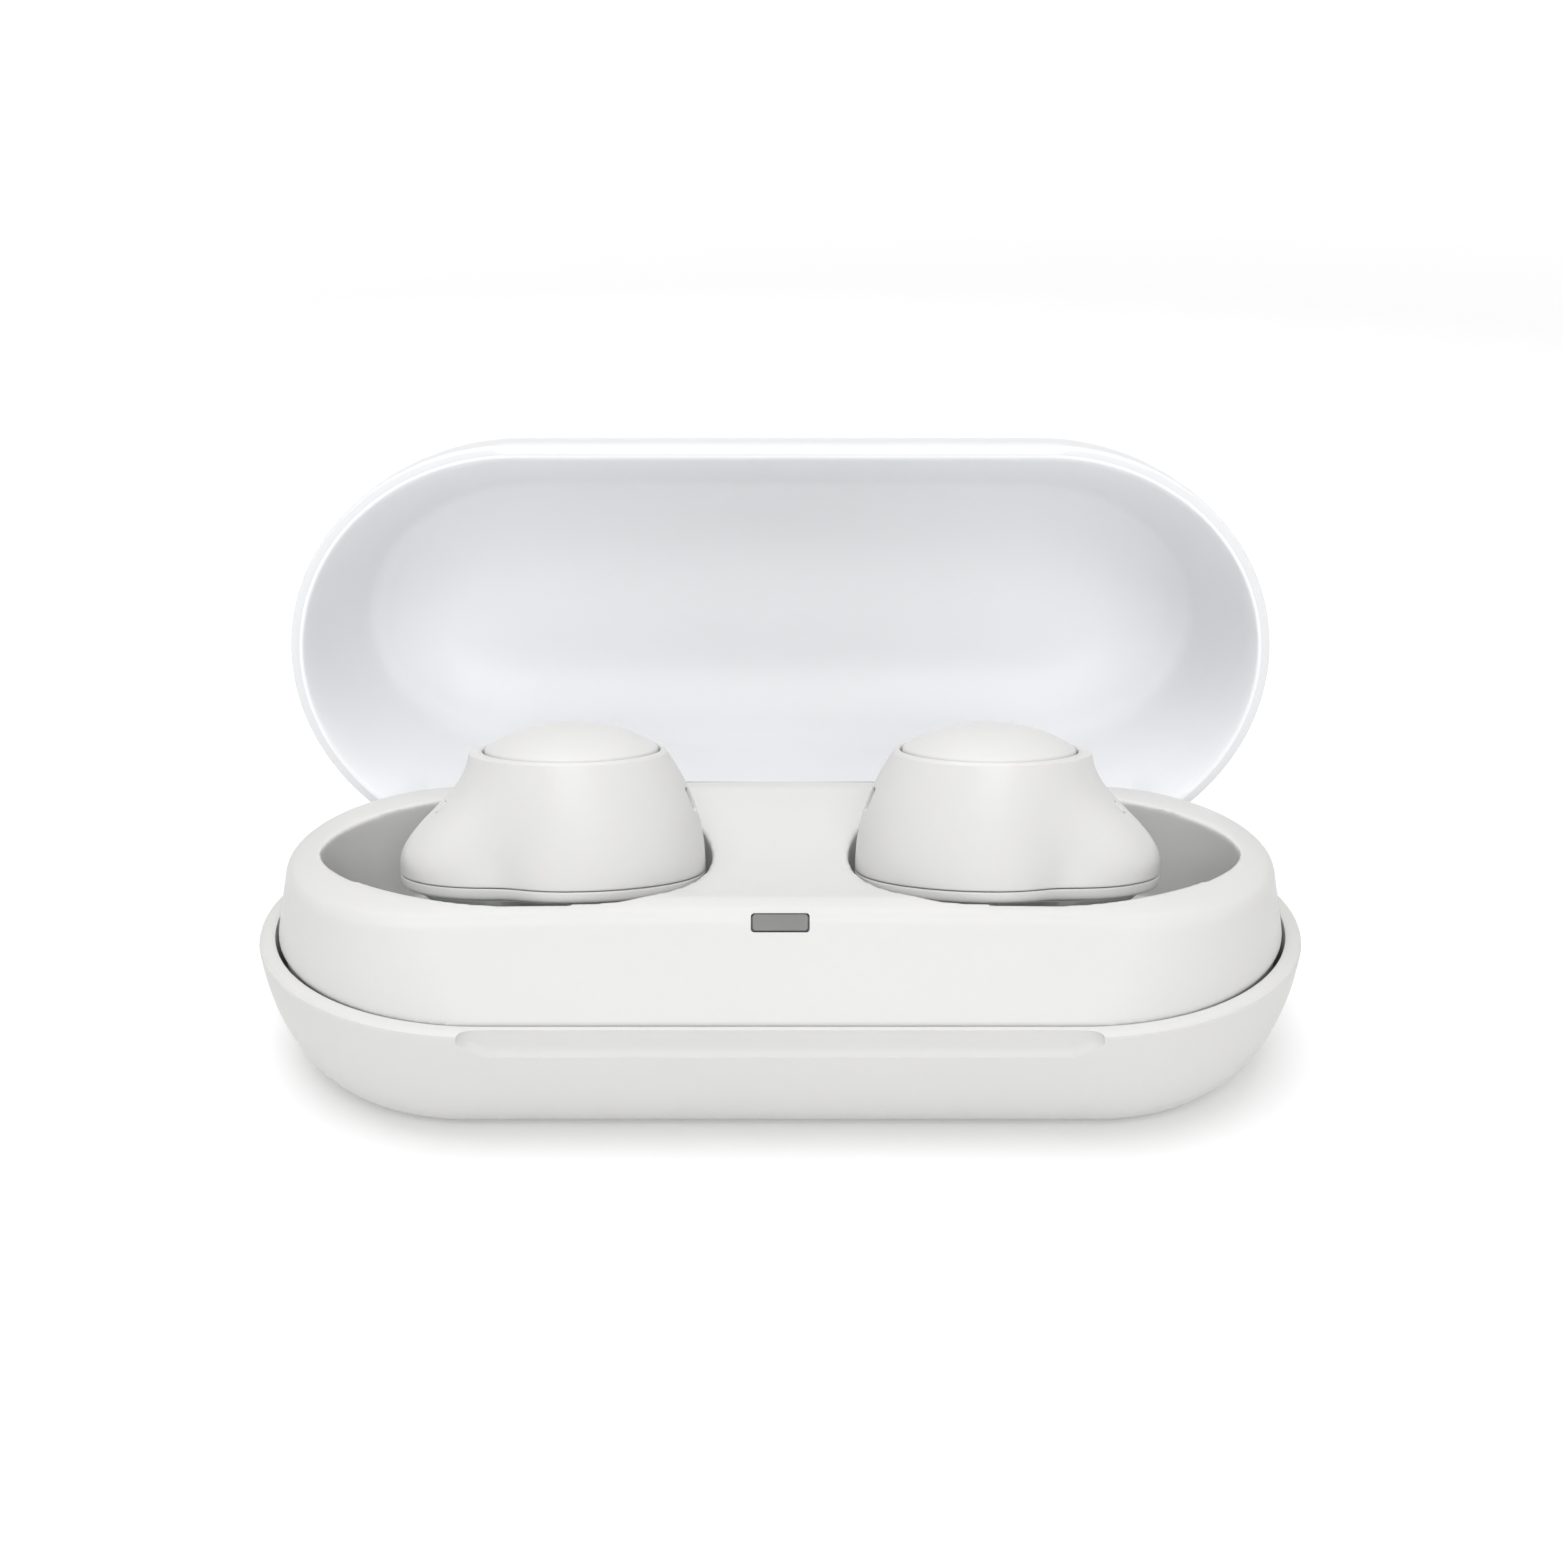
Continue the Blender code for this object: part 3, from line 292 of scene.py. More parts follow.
def cut(target, tool, operation="DIFFERENCE"):
    """Boolean applied at once; the tool is thrown away."""
    modifier = target.modifiers.new("cut", "BOOLEAN")
    modifier.operation = operation
    modifier.object = tool
    bake(target)
    bpy.data.objects.remove(tool, do_unlink=True)


def bake(obj):
    """Replace an object's mesh by what its modifiers make of it."""
    graph = bpy.context.evaluated_depsgraph_get()
    mesh = bpy.data.meshes.new_from_object(obj.evaluated_get(graph))
    obj.modifiers.clear()
    obj.data = mesh


def circle(radius, z, steps=64, side=1):
    turns = [2 * math.pi * i / steps for i in range(steps)]
    return [Vector((side * radius * math.cos(a), radius * math.sin(a), z)) for a in turns]


def turned(name, profile, finish, matrix=None, loop=False, steps=64, sharp=38.0):
    rings = [circle(radius * MM, z * MM, steps) for radius, z in profile]
    return loft(name, rings, finish, matrix, loop, sharp)


def rounded(half_x, half_y, corner, z, steps=8):
    points = []
    for quarter in range(4):
        middle_x = (half_x - corner) * (1 if quarter in (0, 3) else -1)
        middle_y = (half_y - corner) * (1 if quarter in (0, 1) else -1)
        for i in range(steps + 1):
            angle = math.pi / 2 * (quarter + i / steps)
            x = middle_x + corner * math.cos(angle)
            points.append(Vector((x, middle_y + corner * math.sin(angle), z)))
    return points


def clamp(value, low=0.0, high=1.0):
    return min(max(value, low), high)


def smoothstep(value):
    value = clamp(value)
    return value * value * (3 - 2 * value)


def quarter(share):
    """Rise of a quarter circle, from 0 to 1."""
    return math.sqrt(1 - (1 - clamp(share)) ** 2)


def along(points, share):
    """Point at a share of the way along a polyline."""
    lengths = [math.dist(a, b) for a, b in zip(points, points[1:])]
    left = share * sum(lengths)
    for a, b, length in zip(points, points[1:], lengths):
        if left <= length:
            return tuple(p + (q - p) * left / length for p, q in zip(a, b))
        left -= length
    return points[-1]


# ---------------------------------------------------------------- pill outlines

def plan_columns():
    """Columns round the case: share of the straight run, side of the end, and angle on it."""
    fine = [90.0 - 0.35 * i for i in range(30)]
    notch = [61.2 - 0.25 * i for i in range(16)]
    broad = [78.0, 76.0, 73.5, 71.0, 68.5, 66.0, 64.0, 62.4, 55.6] + [52.5 - 2.5 * i for i in range(22)]
    angles = sorted(set(fine + notch + [a for a in broad if a > 0]), reverse=True) + [0.0]
    shares = [1.0 - 0.006 * i for i in range(12)] + [0.925 - 0.075 * i for i in range(13)]
    shares = [s for s in shares if s > 0.001]
    run = [-s for s in shares] + [0.0] + shares[::-1]
    right = [-a for a in angles] + angles[:-1][::-1]
    columns = [(s, 0, -90.0) for s in run[1:-1]]
    columns += [(1.0, 1, a) for a in right]
    columns += [(s, 0, 90.0) for s in run[1:-1][::-1]]
    columns += [(-1.0, -1, a) for a in right[::-1]]
    return columns


COLUMNS = plan_columns()


def pill_point(column, half_length, half_depth, straight, z):
    share, side, angle = column
    cosine, sine = math.cos(math.radians(angle)), math.sin(math.radians(angle))
    return Vector((share * straight + side * (half_length - straight) * abs(cosine), half_depth * sine, z))


def pill(half_length, half_depth, straight, z, shift_y):
    shift = Vector((0.0, shift_y, 0.0))
    return [pill_point(c, half_length, half_depth, straight, z) + shift for c in COLUMNS]


# ---------------------------------------------------------------- base shell

def shell_outside():
    """(inset, height) down the outside of the lower shell, from the rim's inner edge to its underside."""
    points = [(1.24, -0.06), (1.19, -0.015), (1.1, 0.0), (0.8, -0.035), (0.5, -0.09), (0.3, -0.15)]
    for i in range(1, 6):
        angle = math.pi / 2 * i / 5
        points.append((0.3 - 0.27 * math.sin(angle), -0.15 - 0.33 * (1 - math.cos(angle))))
    height = RIM_Z / MM - RIM_ROUND
    for i in range(1, 61):
        t = (i / 60) ** 0.9
        inset = 0.03 + 1.0 * t + 3.1 * t ** 2.3 + 1.15 * t ** 12
        points.append((inset, -RIM_ROUND - height * t))
    return points + [(6.0, -RIM_Z / MM), (8.0, -RIM_Z / MM), (12.0, -RIM_Z / MM)]


def shell_point(column, inset, height):
    t = clamp((-height - RIM_ROUND) / (RIM_Z / MM - RIM_ROUND))
    straight = STRAIGHT + 2.2 * MM * t
    ends = inset * (1 - 0.06 * smoothstep(t * 3)) * MM
    return pill_point(column, HALF_LENGTH - ends, HALF_DEPTH - inset * MM, straight, RIM_Z + height * MM)


def shell_grid():
    """Points down the outside at each column, with the finger cove scooped out of the front."""
    outside = shell_outside()
    total = sum(math.dist(a, b) for a, b in zip(outside, outside[1:]))
    # Lengths along the outside at which the cove starts and ends, where it is shut and where it is open
    top_closed, low_closed, top_open, low_open = 1.42, 1.72, 0.62, 2.95
    # Steps above the cove, in it and below it
    band, cove, below = 7, 26, 60
    grid = []
    for column in COLUMNS:
        x = abs(pill_point(column, HALF_LENGTH, HALF_DEPTH, STRAIGHT, 0.0).x)
        front = column[2] < 0
        gap = (COVE_HALF_LENGTH - x) / MM if front else -1.0
        top = top_closed + (top_open - top_closed) * quarter(gap / 1.5)
        low = low_closed + (low_open - low_closed) * clamp(gap / 2.4) ** 0.75
        depth = quarter(gap / 0.9)
        ceiling, floor = along(outside, top / total), along(outside, low / total)
        points = [along(outside, top / total * i / band) for i in range(band)]
        for i in range(cove + 1):
            share = i / cove
            plain = along(outside, (top + (low - top) * share) / total)
            bend = math.pi / 2 * clamp((share - 0.3) / 0.7)
            middle = ceiling[1] + (floor[1] - ceiling[1]) * 0.42
            if share < 0.3:
                scooped = (COVE_INSET / MM, ceiling[1] + (middle - ceiling[1]) * share / 0.3)
            else:
                scooped = (floor[0] + (COVE_INSET / MM - floor[0]) * math.cos(bend),
                           middle + (floor[1] - middle) * math.sin(bend))
            points.append(tuple(p + (s - p) * depth for p, s in zip(plain, scooped)))
        points += [along(outside, (low + (total - low) * (i / below)) / total) for i in range(1, below + 1)]
        grid.append([shell_point(column, *point) for point in points])
    return grid


def base_shell(finish):
    """Lower shell: outside, wall and floor in one skin, then the cuts for the socket and the hinge."""
    rings = [list(ring) for ring in zip(*shell_grid())][::-1]
    for inset, height in ((1.3, -0.3), (1.35, -2.5), (1.9, -5.0), (4.2, -8.2), (7.0, -9.0)):
        rings.append([shell_point(c, inset, height) for c in COLUMNS])
    shell = loft("base_shell", rings, finish, sharp=32.0)
    port = [[Vector((p.x, y * MM, p.y + 5.55 * MM)) for p in rounded(4.95 * MM, 2.0 * MM, 1.95 * MM, 0.0)]
            for y in (14.0, 20.0)]
    cut(shell, loft("port_tool", port, None))
    slot = loft("slot_tool", [box_ring(-9.25, 9.25, 15.2, 20.0, z) for z in (8.3, 12.0)], None)
    cut(shell, slot)
    relief = loft("relief_tool", [box_ring(-16.3, 16.3, 12.5, 16.65, z) for z in (8.2, 12.3)], None)
    cut(shell, relief)
    tidy_shading(shell, 32.0)
    return keep(shell, "base", "body", "lower_shell")


def box_ring(x_low, x_high, y_low, y_high, z):
    return [Vector((x, y, z)) * MM for x, y in
            ((x_low, y_low), (x_high, y_low), (x_high, y_high), (x_low, y_high))]


def tidy_shading(obj, sharp):
    obj.data.shade_smooth()
    obj.data.set_sharp_from_angle(angle=math.radians(sharp))


def hinge_cover(name, side, finish):
    """Upstand at the back that fills the lid's rear notch, one piece each side of the hinge slot."""
    profile = [(1.02, -0.4), (1.02, 2.1), (0.97, 2.2), (0.88, 2.22), (0.6, 2.08), (0.42, 1.88),
               (0.31, 1.65), (0.24, 1.3), (0.16, 0.8), (0.09, 0.0), (0.3, -0.4)]
    start, stop, steps = 9.3, 30.4, 40
    rings = []
    for i in range(steps + 1):
        x = start + (stop - start) * i / steps
        edge = min(i, steps - i) / 3
        drop = 0.35 * (1 - quarter(edge)) if edge < 1 else 0.0
        ring = []
        for inset, height in profile:
            half_depth = HALF_DEPTH / MM - inset
            if x > STRAIGHT / MM:
                across = (x - STRAIGHT / MM) / ((HALF_LENGTH - STRAIGHT) / MM - inset)
                half_depth *= math.sqrt(1 - across ** 2)
            z = RIM_Z / MM + height - (drop if height > 2 else 0)
            ring.append(Vector((side * x, half_depth, z)) * MM)
        rings.append(ring)
    return keep(loft(f"hinge_cover_{name}", rings, finish, sharp=50.0), "base", "body")


# ---------------------------------------------------------------- cradle (collar, deck and wells)

def frame_ring(height, inset=0.0):
    """Outline of the collar; height is 0 at the rim and 1 at the deck."""
    def between(low, high):
        return low + (high - low) * height
    return pill(
        between(HALF_LENGTH - 1.5 * MM, 37.5 * MM) - inset,
        between(HALF_DEPTH - 1.17 * MM, 11.35 * MM) - inset,
        between(STRAIGHT, 25.7 * MM),
        RIM_Z + (DECK_Z - RIM_Z) * height,
        between(0.0, 0.4 * MM),
    )


def well_outline(side, grow, z, steps=72):
    """Outline of an earbud's well, fuller at the outer front where the earbud's lobe lies."""
    points = []
    for i in range(steps * 2):
        angle = math.pi * i / steps
        across, depthways = math.cos(angle), math.sin(angle)
        power = 1.7 if across > 0 and depthways < 0 else 2.0
        if across > 0:
            x = 20.0 * MM + (14.9 * MM + grow) * abs(across) ** (2 / power)
        else:
            x = 13.5 * MM - (8.3 * MM + grow) * abs(across)
        depth = (9.5 * MM if depthways > 0 else 9.2 * MM) + grow
        y = -0.5 * MM + math.copysign(abs(depthways) ** (2 / power), depthways) * depth
        points.append(Vector((side * x, y, z)))
    return points


def tip_outline(side, grow, z):
    """Outline of the deeper pocket for the ear tip."""
    ring = rounded(6.7 * MM + grow, 6.3 * MM + grow, 4.7 * MM + grow, z)
    return [p + Vector((side * 25.1 * MM, -3.1 * MM, 0.0)) for p in ring]


def cradle(finish):
    """Collar, deck and wells, cut from solids, then rounded over by remeshing."""
    skirt = [Vector((p.x, p.y, RIM_Z - 2.6 * MM)) for p in frame_ring(0.0, 0.55 * MM)]
    eased = [Vector((p.x, p.y, RIM_Z - 0.4 * MM)) for p in frame_ring(0.0, 0.35 * MM)]
    rings = [skirt, eased] + [frame_ring(h) for h in (0.0, 0.25, 0.5, 0.75, 0.9)]
    for inset, lift in ((0.05, -0.3), (0.2, -0.12), (0.5, 0.02), (1.2, 0.2), (2.4, 0.38), (4.5, 0.45)):
        ring = frame_ring(1.0, inset * MM)
        rings.append([Vector((p.x, p.y, DECK_Z + lift * MM)) for p in ring])
    body = loft("cradle", rings, finish)
    hollow = [Vector((p.x, p.y, RIM_Z - 3.6 * MM)) for p in frame_ring(0.0, 1.75 * MM)]
    cut(body, loft("hollow_tool", [hollow] + [frame_ring(h, 1.6 * MM) for h in (0.0, 0.4, 0.74)], None))
    for side in SIDES.values():
        cup = [well_outline(side, 1.1 * MM, z * MM) for z in (7.3, 15.6)]
        cut(body, loft("cup", cup, None), "UNION")
        tip_cup = [tip_outline(side, 0.8 * MM, z * MM) for z in (2.6, 13.1)]
        cut(body, loft("tip_cup", tip_cup, None), "UNION")
    for side in SIDES.values():
        cut(body, loft("well", [well_outline(side, 0.0, z * MM) for z in (8.4, 19.0)], None))
        cut(body, loft("tip_well", [tip_outline(side, 0.0, z * MM) for z in (3.4, 12.2)], None))
    cut(body, bridge_tool())
    pocket = loft("pocket_tool", [box_ring(-17.2, 17.2, 11.0, 20.0, z) for z in (5.0, 13.8)], None)
    cut(body, pocket)
    droop(body)
    remesh = body.modifiers.new("remesh", "REMESH")
    remesh.mode = "VOXEL"
    remesh.voxel_size = 0.22 * MM
    smooth = body.modifiers.new("smooth", "SMOOTH")
    smooth.factor = 0.5
    smooth.iterations = 6
    bake(body)
    tidy_shading(body, 180.0)
    cut(body, window_block(0.1 * MM, None, 1.2 * MM))
    tidy_shading(body, 45.0)
    return keep(body, "base", "body", "inner_frame")


def droop(obj):
    """Let the deck fall away towards the ends of the case."""
    for vert in obj.data.vertices:
        share = smoothstep((vert.co.z - RIM_Z) / (DECK_Z - RIM_Z))
        vert.co.z -= 1.0 * MM * (vert.co.x / HALF_LENGTH) ** 2 * share


def bridge_tool():
    """Trough across the bridge between the wells."""
    half, dip = 9.7 * MM, 0.9 * MM
    rings = []
    for x in (-13.0 * MM, 13.0 * MM):
        ring = [Vector((x, half * (i / 12 - 1), DECK_Z + 0.45 * MM - dip * 1.4 * (1 - (i / 12 - 1) ** 2)))
                for i in range(25)]
        ring += [Vector((x, half, DECK_Z + 3 * MM)), Vector((x, -half, DECK_Z + 3 * MM))]
        rings.append(ring)
    return loft("bridge_tool", rings, None)


def window_block(grow, finish, proud=0.43 * MM):
    """Small window at the top of the collar's front face."""
    top = Vector((0.0, -10.95 * MM, DECK_Z))
    foot = Vector((0.0, -16.2 * MM, RIM_Z))
    down = (foot - top).normalized()
    out = down.cross(Vector((1.0, 0.0, 0.0)))
    at = Matrix((Vector((1, 0, 0)), -down, out)).transposed().to_4x4()
    at.translation = top + down * 0.8 * MM - out * 0.45 * MM
    edge = 0.06 * MM
    rings = [rounded(2.0 * MM + grow, 0.62 * MM + grow, 0.25 * MM, -0.42 * MM - grow)]
    rings.append(rounded(2.0 * MM + grow, 0.62 * MM + grow, 0.25 * MM, proud - edge))
    if finish:
        rings.append(rounded(2.0 * MM - edge, 0.62 * MM - edge, 0.2 * MM, proud))
    return loft("status_window", rings, finish, at)


# ---------------------------------------------------------------- lid

LID_AT = Matrix.Translation(HINGE) @ Matrix.Rotation(-OPEN_ANGLE, 4, "X") @ Matrix.Translation(-HINGE)


def wall_inset(height):
    """How far in the lid's outer wall lies at a height over the rim, both in millimetres."""
    return LID_TURN_IN * (1 - (1 - clamp(height / LID_HEIGHT) ** LID_POWER) ** (1 / LID_POWER))


def lid_point(column, height, inset, ends=None, recess=False):
    """Point of the shut lid, in millimetres over the rim and in from its outline; ends is the inset there.

    The lower edge is lifted over the hinge and, with recess, the front lip is set back over the cove.
    """
    ends = inset if ends is None else ends
    x = abs(pill_point(column, HALF_LENGTH - ends * MM, HALF_DEPTH - inset * MM, STRAIGHT, 0.0).x) / MM
    if column[2] > 0 and x < NOTCH_HALF_LENGTH:
        fade = 1 - smoothstep((height - 0.6) / NOTCH_FADE)
        lift = NOTCH_HEIGHT * quarter((NOTCH_HALF_LENGTH - x) / 0.5) * fade
        shift = wall_inset(height + lift) - wall_inset(height)
        height, inset, ends = height + lift, inset + shift, ends + shift
    z = RIM_Z + height * MM
    point = pill_point(column, HALF_LENGTH - ends * MM, HALF_DEPTH - inset * MM, STRAIGHT, z)
    if recess and column[2] < 0 and x < COVE_HALF_LENGTH / MM:
        point.y += 0.45 * MM * quarter((COVE_HALF_LENGTH / MM - x) / 1.1) * (1 - quarter(height / 1.5))
    return point


def lid_outside():
    """(height, inset) up the outside of the lid, from its lower edge."""
    pairs = [(0.0, 0.32), (0.03, 0.2), (0.1, 0.1), (0.2, 0.04), (0.35, 0.01)]
    for i in range(1, 45):
        angle = math.pi / 2 * (i / 44) ** 0.85
        height = LID_HEIGHT * math.sin(angle) ** (2 / LID_POWER)
        if height > 0.6:
            pairs.append((height, LID_TURN_IN * (1 - math.cos(angle) ** (2 / LID_POWER))))
    return pairs


def lid_pieces(finishes):
    """Outer cover and inner lining of the lid."""
    outside = lid_outside()
    rings = [[lid_point(c, h, i, recess=True) for c in COLUMNS] for h, i in outside[::-1]]
    inside = [(0.0, 0.72), (0.1, 0.84), (0.3, 0.88)]
    for height, inset in outside:
        if height > 0.9:
            turn = (height / LID_HEIGHT) ** 3
            inside.append((height - 0.9 * turn, inset + 0.9 * (1 - 0.35 * turn)))
    rings += [[lid_point(c, h, i) for c in COLUMNS] for h, i in inside]
    shell = loft("lid_cover", rings, finishes["lid"], LID_AT)
    keep(shell, "lid", "lid", "lid_shell")

    back = [(h - 0.05, i - 0.08, i - 0.08) for h, i in inside if h > 0.9]
    wall = [(0.3, 0.68, 0.68), (0.02, 0.7, 0.7), (0.02, 0.92, 0.92), (0.06, 1.02, 1.02), (0.16, 1.1, 1.08)]
    roof = [(0.8, 1.4, 1.22), (2.0, 1.72, 1.45), (4.0, 2.25, 1.75), (6.0, 2.85, 2.1), (8.0, 3.5, 2.5),
            (10.0, 4.15, 2.95), (11.6, 4.7, 3.35), (12.6, 5.1, 3.65), (13.3, 5.5, 3.95), (13.85, 6.05, 4.4),
            (14.4, 6.85, 5.1), (15.15, 7.9, 6.0), (15.95, 9.4, 7.4), (16.6, 11.0, 9.0), (16.97, 12.6, 10.6),
            (17.12, 14.3, 12.3), (17.16, 16.2, 14.2)]
    rings = [[lid_point(c, *sizes) for c in COLUMNS] for sizes in back[::-1] + wall + smoothed(roof, 4)]
    liner = loft("lid_lining", rings, finishes["liner"], LID_AT)
    keep(liner, "lid", "liner", "lid_liner")


def smoothed(points, parts):
    """Catmull-Rom curve through points, with so many parts to a span."""
    ends = [points[0]] + points + [points[-1]]
    made = []
    for a, b, c, d in zip(ends, ends[1:], ends[2:], ends[3:]):
        for i in range(parts):
            t = i / parts
            made.append(tuple(
                0.5 * (2 * q + (r - p) * t + (2 * p - 5 * q + 4 * r - s) * t * t
                       + (3 * q - p - 3 * r + s) * t ** 3)
                for p, q, r, s in zip(a, b, c, d)
            ))
    return made + [points[-1]]


# ---------------------------------------------------------------- earbuds

BUD_STEPS = 112


def bud_radius(angle, depth):
    """Reach of the earbud's outline at an angle from its lobe; depth is 0 at the top, 1 at the seam."""
    flare = 1 - (1 - depth) ** 2.2
    half_y = (7.0 + 0.8 * flare) * MM
    half_x = (7.0 + 3.0 * flare) * MM if math.cos(angle) < 0 else half_y
    body = 1 / math.hypot(math.cos(angle) / half_x, math.sin(angle) / half_y)
    reach = half_y + (13.0 * MM - half_y) * smoothstep((depth - 0.06) / 0.86)
    lobe_radius = (5.0 + 1.3 * depth) * MM
    centre = reach - lobe_radius
    inside = lobe_radius ** 2 - (centre * math.sin(angle)) ** 2
    if math.cos(angle) <= 0 or inside <= 0:
        return body
    lobe = max(centre * math.cos(angle) + math.sqrt(inside), 0.0)
    return (body ** 8 + lobe ** 8) ** 0.125


def bud_ring(side, depth, inset=0.0, z=None):
    """Outline of the earbud at a depth, at that depth's own height unless z is given."""
    z = SEAM * depth if z is None else z
    ring = []
    for i in range(BUD_STEPS):
        angle = 2 * math.pi * i / BUD_STEPS
        radius = bud_radius(angle, depth) - inset
        ring.append(Vector((side * radius * math.cos(angle), radius * math.sin(angle), z)))
    return ring


def bud_matrix(side):
    return Matrix.Translation((side * BUD_X, BUD_Y, BUD_Z)) @ Matrix.Rotation(-BUD_LEAN, 4, "X")


def nozzle_matrix(side):
    start = Vector((side * NOZZLE_START.x, 0.0, NOZZLE_START.z))
    turn = Matrix.Rotation(math.pi - side * NOZZLE_ANGLE, 4, "Y")
    return bud_matrix(side) @ Matrix.Translation(start) @ turn


def earbud(name, side, finishes):
    at = bud_matrix(side)
    body = f"bud_{name}"
    bevel = [(1.0, 0.06), (0.997, 0.02), (0.99, 0.0)]
    depths = [1.0 - 0.02 * i for i in range(1, 49)] + [0.028, 0.018]
    rings = [bud_ring(side, depth, inset * MM) for depth, inset in bevel]
    rings += [bud_ring(side, depth) for depth in depths]
    top = [(6.93, -0.08), (6.86, 0.0), (6.78, 0.03), (6.7, -0.02), (6.66, -0.12), (6.66, -1.3),
           (5.4, -1.3), (5.4, -2.1)]
    rings += [circle(r * MM, z * MM, BUD_STEPS, side) for r, z in top]
    rings += [bud_ring(side, d, 0.9 * MM) for d in (0.26, 0.4, 0.5, 0.6, 0.7, 0.8, 0.9, 1.0)]
    shell = loft(f"bud_cover_{name}", rings, finishes["bud"], at, loop=True)
    cut(shell, slit_tool(side, at))
    vent_at = at @ shoulder_matrix(side, math.radians(-12.0), 0.44)
    cut(shell, vent_pill("vent_tool", 0.1, -0.14, 0.6, None, vent_at))
    tidy_shading(shell, 40.0)
    keep(shell, body, "body", f"outer_housing_{name}")
    keep(vent_pill(f"shoulder_vent_{name}", 0.0, -0.3, 0.06, finishes["bud"], vent_at), body, "body")

    button(name, side, finishes["bud"], at)
    bud_bowl(name, side, finishes["bud"], at)
    ear_tip(name, side, finishes["silicone"])


def button(name, side, finish, at):
    """Round button: a stem, a plate and a domed face."""
    cap = [(2.0, -2.4), (2.0, -0.9), (6.3, -0.9), (6.46, -0.8), (6.5, -0.6), (6.5, -0.1),
           (6.47, 0.06), (6.38, 0.18)]
    steps = 26
    for i in range(1, steps):
        reach = math.cos(math.pi / 2 * i / steps)
        cap.append((6.3 * reach, 0.22 + 1.62 * (1 - reach ** 2.5)))
    rings = [circle(r * MM, z * MM, BUD_STEPS, side) for r, z in cap]
    face = loft(f"touch_button_{name}", rings, finish, at)
    keep(face, f"button_{name}", "body", f"button_cap_{name}")


def bud_bowl(name, side, finish, at):
    """Underside of the earbud, with the bored nozzle that carries the ear tip."""
    under = [(0.0, 0.12), (0.03, 0.04), (0.1, 0.01), (0.45, 0.02), (0.72, 0.09), (0.88, 0.3),
             (0.96, 0.7), (1.2, 1.3), (1.8, 1.9), (2.6, 2.6), (3.4, 3.6), (4.0, 4.4), (4.5, 5.0),
             (5.0, 5.45), (5.4, 5.9)]
    top = SEAM - 0.08 * MM
    squeeze = 5.24 / 5.4
    rings = [bud_ring(side, 1.0, inset * MM, top - down * squeeze * MM)
             for down, inset in smoothed(under, 3)[::-1]]
    rings += [bud_ring(side, 1.0, inset * MM, SEAM - down * MM)
              for down, inset in ((0.16, 1.0), (1.2, 1.1), (2.0, 2.2), (2.9, 4.0), (3.7, 5.1), (4.4, 6.1))]
    bowl = loft(f"bud_bowl_{name}", rings, finish, at)
    axis = nozzle_matrix(side)
    tube = [(3.2, 0.6), (2.95, 1.6), (2.7, 2.6), (2.55, 3.6), (2.5, 4.6), (2.5, 7.6),
            (2.42, 8.3), (2.2, 8.75)]
    cut(bowl, turned("tube", tube, None, axis), "UNION")
    cut(bowl, turned("bore", [(1.85, 0.5), (1.85, 8.6), (2.0, 9.6)], None, axis))
    tidy_shading(bowl, 40.0)
    keep(bowl, f"bud_{name}", "body", f"inner_housing_{name}")


def shoulder_matrix(side, angle, depth):
    """Matrix that stands on the earbud's side: +X down its slope and +Z out of it."""
    def point(turn, down):
        radius = bud_radius(turn, down)
        return Vector((side * radius * math.cos(turn), radius * math.sin(turn), SEAM * down))
    here = point(angle, depth)
    down = (point(angle, depth + 0.01) - here).normalized()
    out = down.cross(point(angle + 0.01, depth) - here).normalized()
    if out.dot(here) < 0:
        out = -out
    matrix = Matrix((down, out.cross(down), out)).transposed().to_4x4()
    matrix.translation = here
    return matrix


def vent_pill(name, grow, low, high, finish, at):
    """Small round-ended inlay, or the tool for its recess."""
    rings = []
    for z, edge in ((low, 0.0), (high - 0.06, 0.0), (high, 0.06)):
        half_x, half_y = 0.52 + grow - edge, 0.26 + grow - edge
        rings.append(rounded(half_x * MM, half_y * MM, (half_y - 0.01) * MM, z * MM))
    return loft(name, rings, finish, at)


def slit_tool(side, at):
    """Tool for the microphone slit in the earbud's inner side."""
    ring = rounded(0.45 * MM, 0.95 * MM, 0.3 * MM, 0.0)
    rings = [[Vector((-side * x, p.x - 0.8 * MM, p.y - 3.7 * MM)) for p in ring]
             for x in (7.9 * MM, 12.0 * MM)]
    return loft("slit_tool", rings, None, at)


def ear_tip(name, side, finish):
    """Silicone tip: a sleeve on the nozzle that folds back into a thin mushroom skirt."""
    profile = [(2.62, 4.9), (2.6, 7.0), (2.6, 9.3), (2.68, 9.72), (2.95, 9.98), (3.3, 9.98),
               (3.75, 9.78), (4.2, 9.35), (4.6, 8.75), (4.9, 8.0), (5.1, 7.1), (5.2, 6.2),
               (5.18, 5.4), (5.08, 4.98), (4.9, 4.88), (4.72, 5.0), (4.68, 5.6), (4.62, 6.3),
               (4.4, 7.1), (4.1, 7.7), (3.7, 8.2), (3.42, 8.35), (3.3, 8.2), (3.3, 7.0),
               (3.3, 5.1), (3.1, 4.88), (2.8, 4.84)]
    tip = turned(f"silicone_tip_{name}", profile, finish, nozzle_matrix(side), loop=True, sharp=60.0)
    keep(tip, f"bud_{name}", "silicone", f"ear_tip_{name}")


# ---------------------------------------------------------------- studio

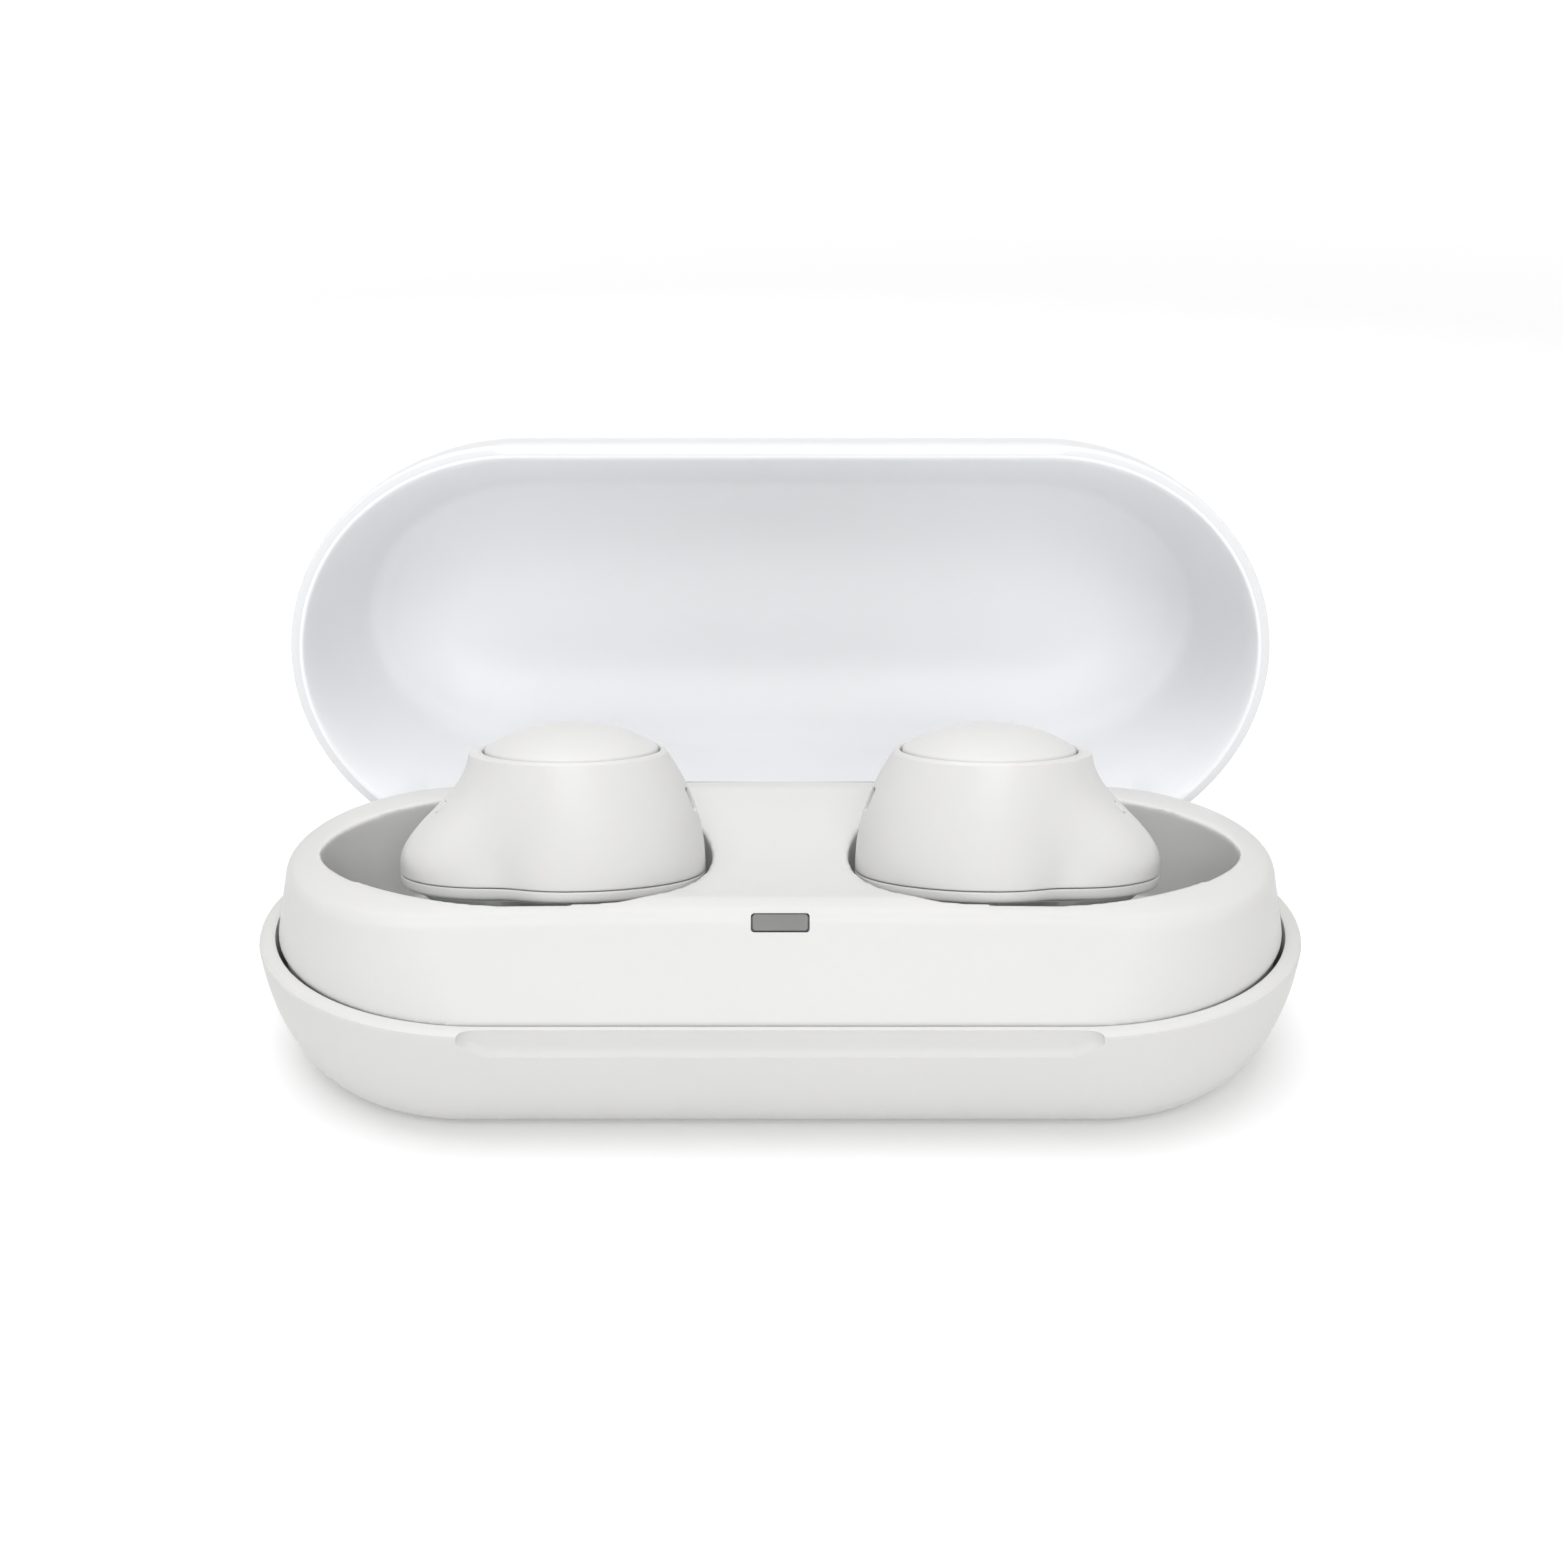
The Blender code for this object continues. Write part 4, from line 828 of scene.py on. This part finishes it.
def make_floor():
    floor = bpy.data.meshes.new("floor")
    reach = 3.0
    corners = [(-reach, -reach, 0), (reach, -reach, 0), (reach, reach, 0), (-reach, reach, 0)]
    floor.from_pydata(corners, [], [(0, 1, 2, 3)])
    ground = bpy.data.objects.new("floor", floor)
    ground.location.z = -0.02 * MM
    bpy.context.scene.collection.objects.link(ground)
    pale = surface("Pale floor", (0.85, 0.85, 0.85), 0.9, Specular_IOR_Level=0.0,
                   Emission_Color=(1.0, 1.0, 1.0, 1.0))
    # The lamps fall off away from the object, so the floor's own glow rises to keep it evenly white.
    tree = pale.node_tree
    place = tree.nodes.new("ShaderNodeTexCoord")
    distance = tree.nodes.new("ShaderNodeVectorMath")
    distance.operation = "LENGTH"
    tree.links.new(place.outputs["Object"], distance.inputs[0])
    glow = node(tree, "ShaderNodeMapRange", From_Min=0.3, From_Max=0.9, To_Min=0.12, To_Max=0.8)
    tree.links.new(distance.outputs["Value"], glow.inputs["Value"])
    tree.links.new(glow.outputs["Result"], tree.nodes["Principled BSDF"].inputs["Emission Strength"])
    floor.materials.append(pale)


def make_sky():
    """White world light, stronger from above than from the horizon."""
    world = bpy.data.worlds.new("Studio")
    bpy.context.scene.world = world
    world.use_nodes = True
    tree = world.node_tree
    background = tree.nodes["Background"]
    source = tree.nodes.new("ShaderNodeTexCoord")
    split = tree.nodes.new("ShaderNodeSeparateXYZ")
    tree.links.new(source.outputs["Generated"], split.inputs["Vector"])
    level = node(tree, "ShaderNodeMapRange", From_Min=-0.1, From_Max=1.0, To_Min=0.31, To_Max=0.67)
    tree.links.new(split.outputs["Z"], level.inputs["Value"])
    tree.links.new(level.outputs["Result"], background.inputs["Strength"])
    background.inputs["Color"].default_value = (1.0, 1.0, 1.0, 1.0)


def studio():
    make_floor()
    make_sky()
    area_light("Overhead softbox", (-0.05, 0.02, 0.55), 0.5, 1.9)
    area_light("Front fill", (0.05, -0.66, 0.46), 0.5, 2.6)


def area_light(name, location, size, energy):
    """Square lamp that faces the case."""
    light = bpy.data.lights.new(name, "AREA")
    light.energy = energy
    light.size = size
    lamp = bpy.data.objects.new(name, light)
    lamp.location = location
    lamp.rotation_euler = (Vector((0, 0, 0.02)) - Vector(location)).to_track_quat("-Z", "Y").to_euler()
    bpy.context.scene.collection.objects.link(lamp)


def camera():
    data = bpy.data.cameras.new("Camera")
    data.sensor_width = 36.0
    data.lens = 47.78
    data.clip_start = 0.005
    made = bpy.data.objects.new("Camera", data)
    made.location = (0.00009, -0.14168, 0.08675)
    made.rotation_euler = (math.radians(65.4), 0.0, 0.0)
    bpy.context.scene.collection.objects.link(made)
    bpy.context.scene.camera = made


def repaint_frame(finishes):
    """Give each CAD node the finish of its slot, and the meshes their weave."""
    for entry in frame["record"]["subparts"]:
        finish = finishes[entry["material_slot"]]
        if entry["node"].startswith("nozzle_mesh"):
            finish = finishes["mesh"]
        if entry["node"].startswith("mic_mesh"):
            finish = finishes["cloth"]
        obj = frame["nodes"][entry["node"]]
        obj.data.materials.clear()
        obj.data.materials.append(finish)


def main():
    bpy.context.scene.view_settings.view_transform = "Standard"
    finishes = make_finishes()
    repaint_frame(finishes)
    base_shell(finishes["body"])
    cradle(finishes["body"])
    keep(window_block(0.0, finishes["window"]), "base", "window", "led_window")
    lid_pieces(finishes)
    for name, side in SIDES.items():
        hinge_cover(name, side, finishes["body"])
        earbud(name, side, finishes)
    studio()
    camera()


main()
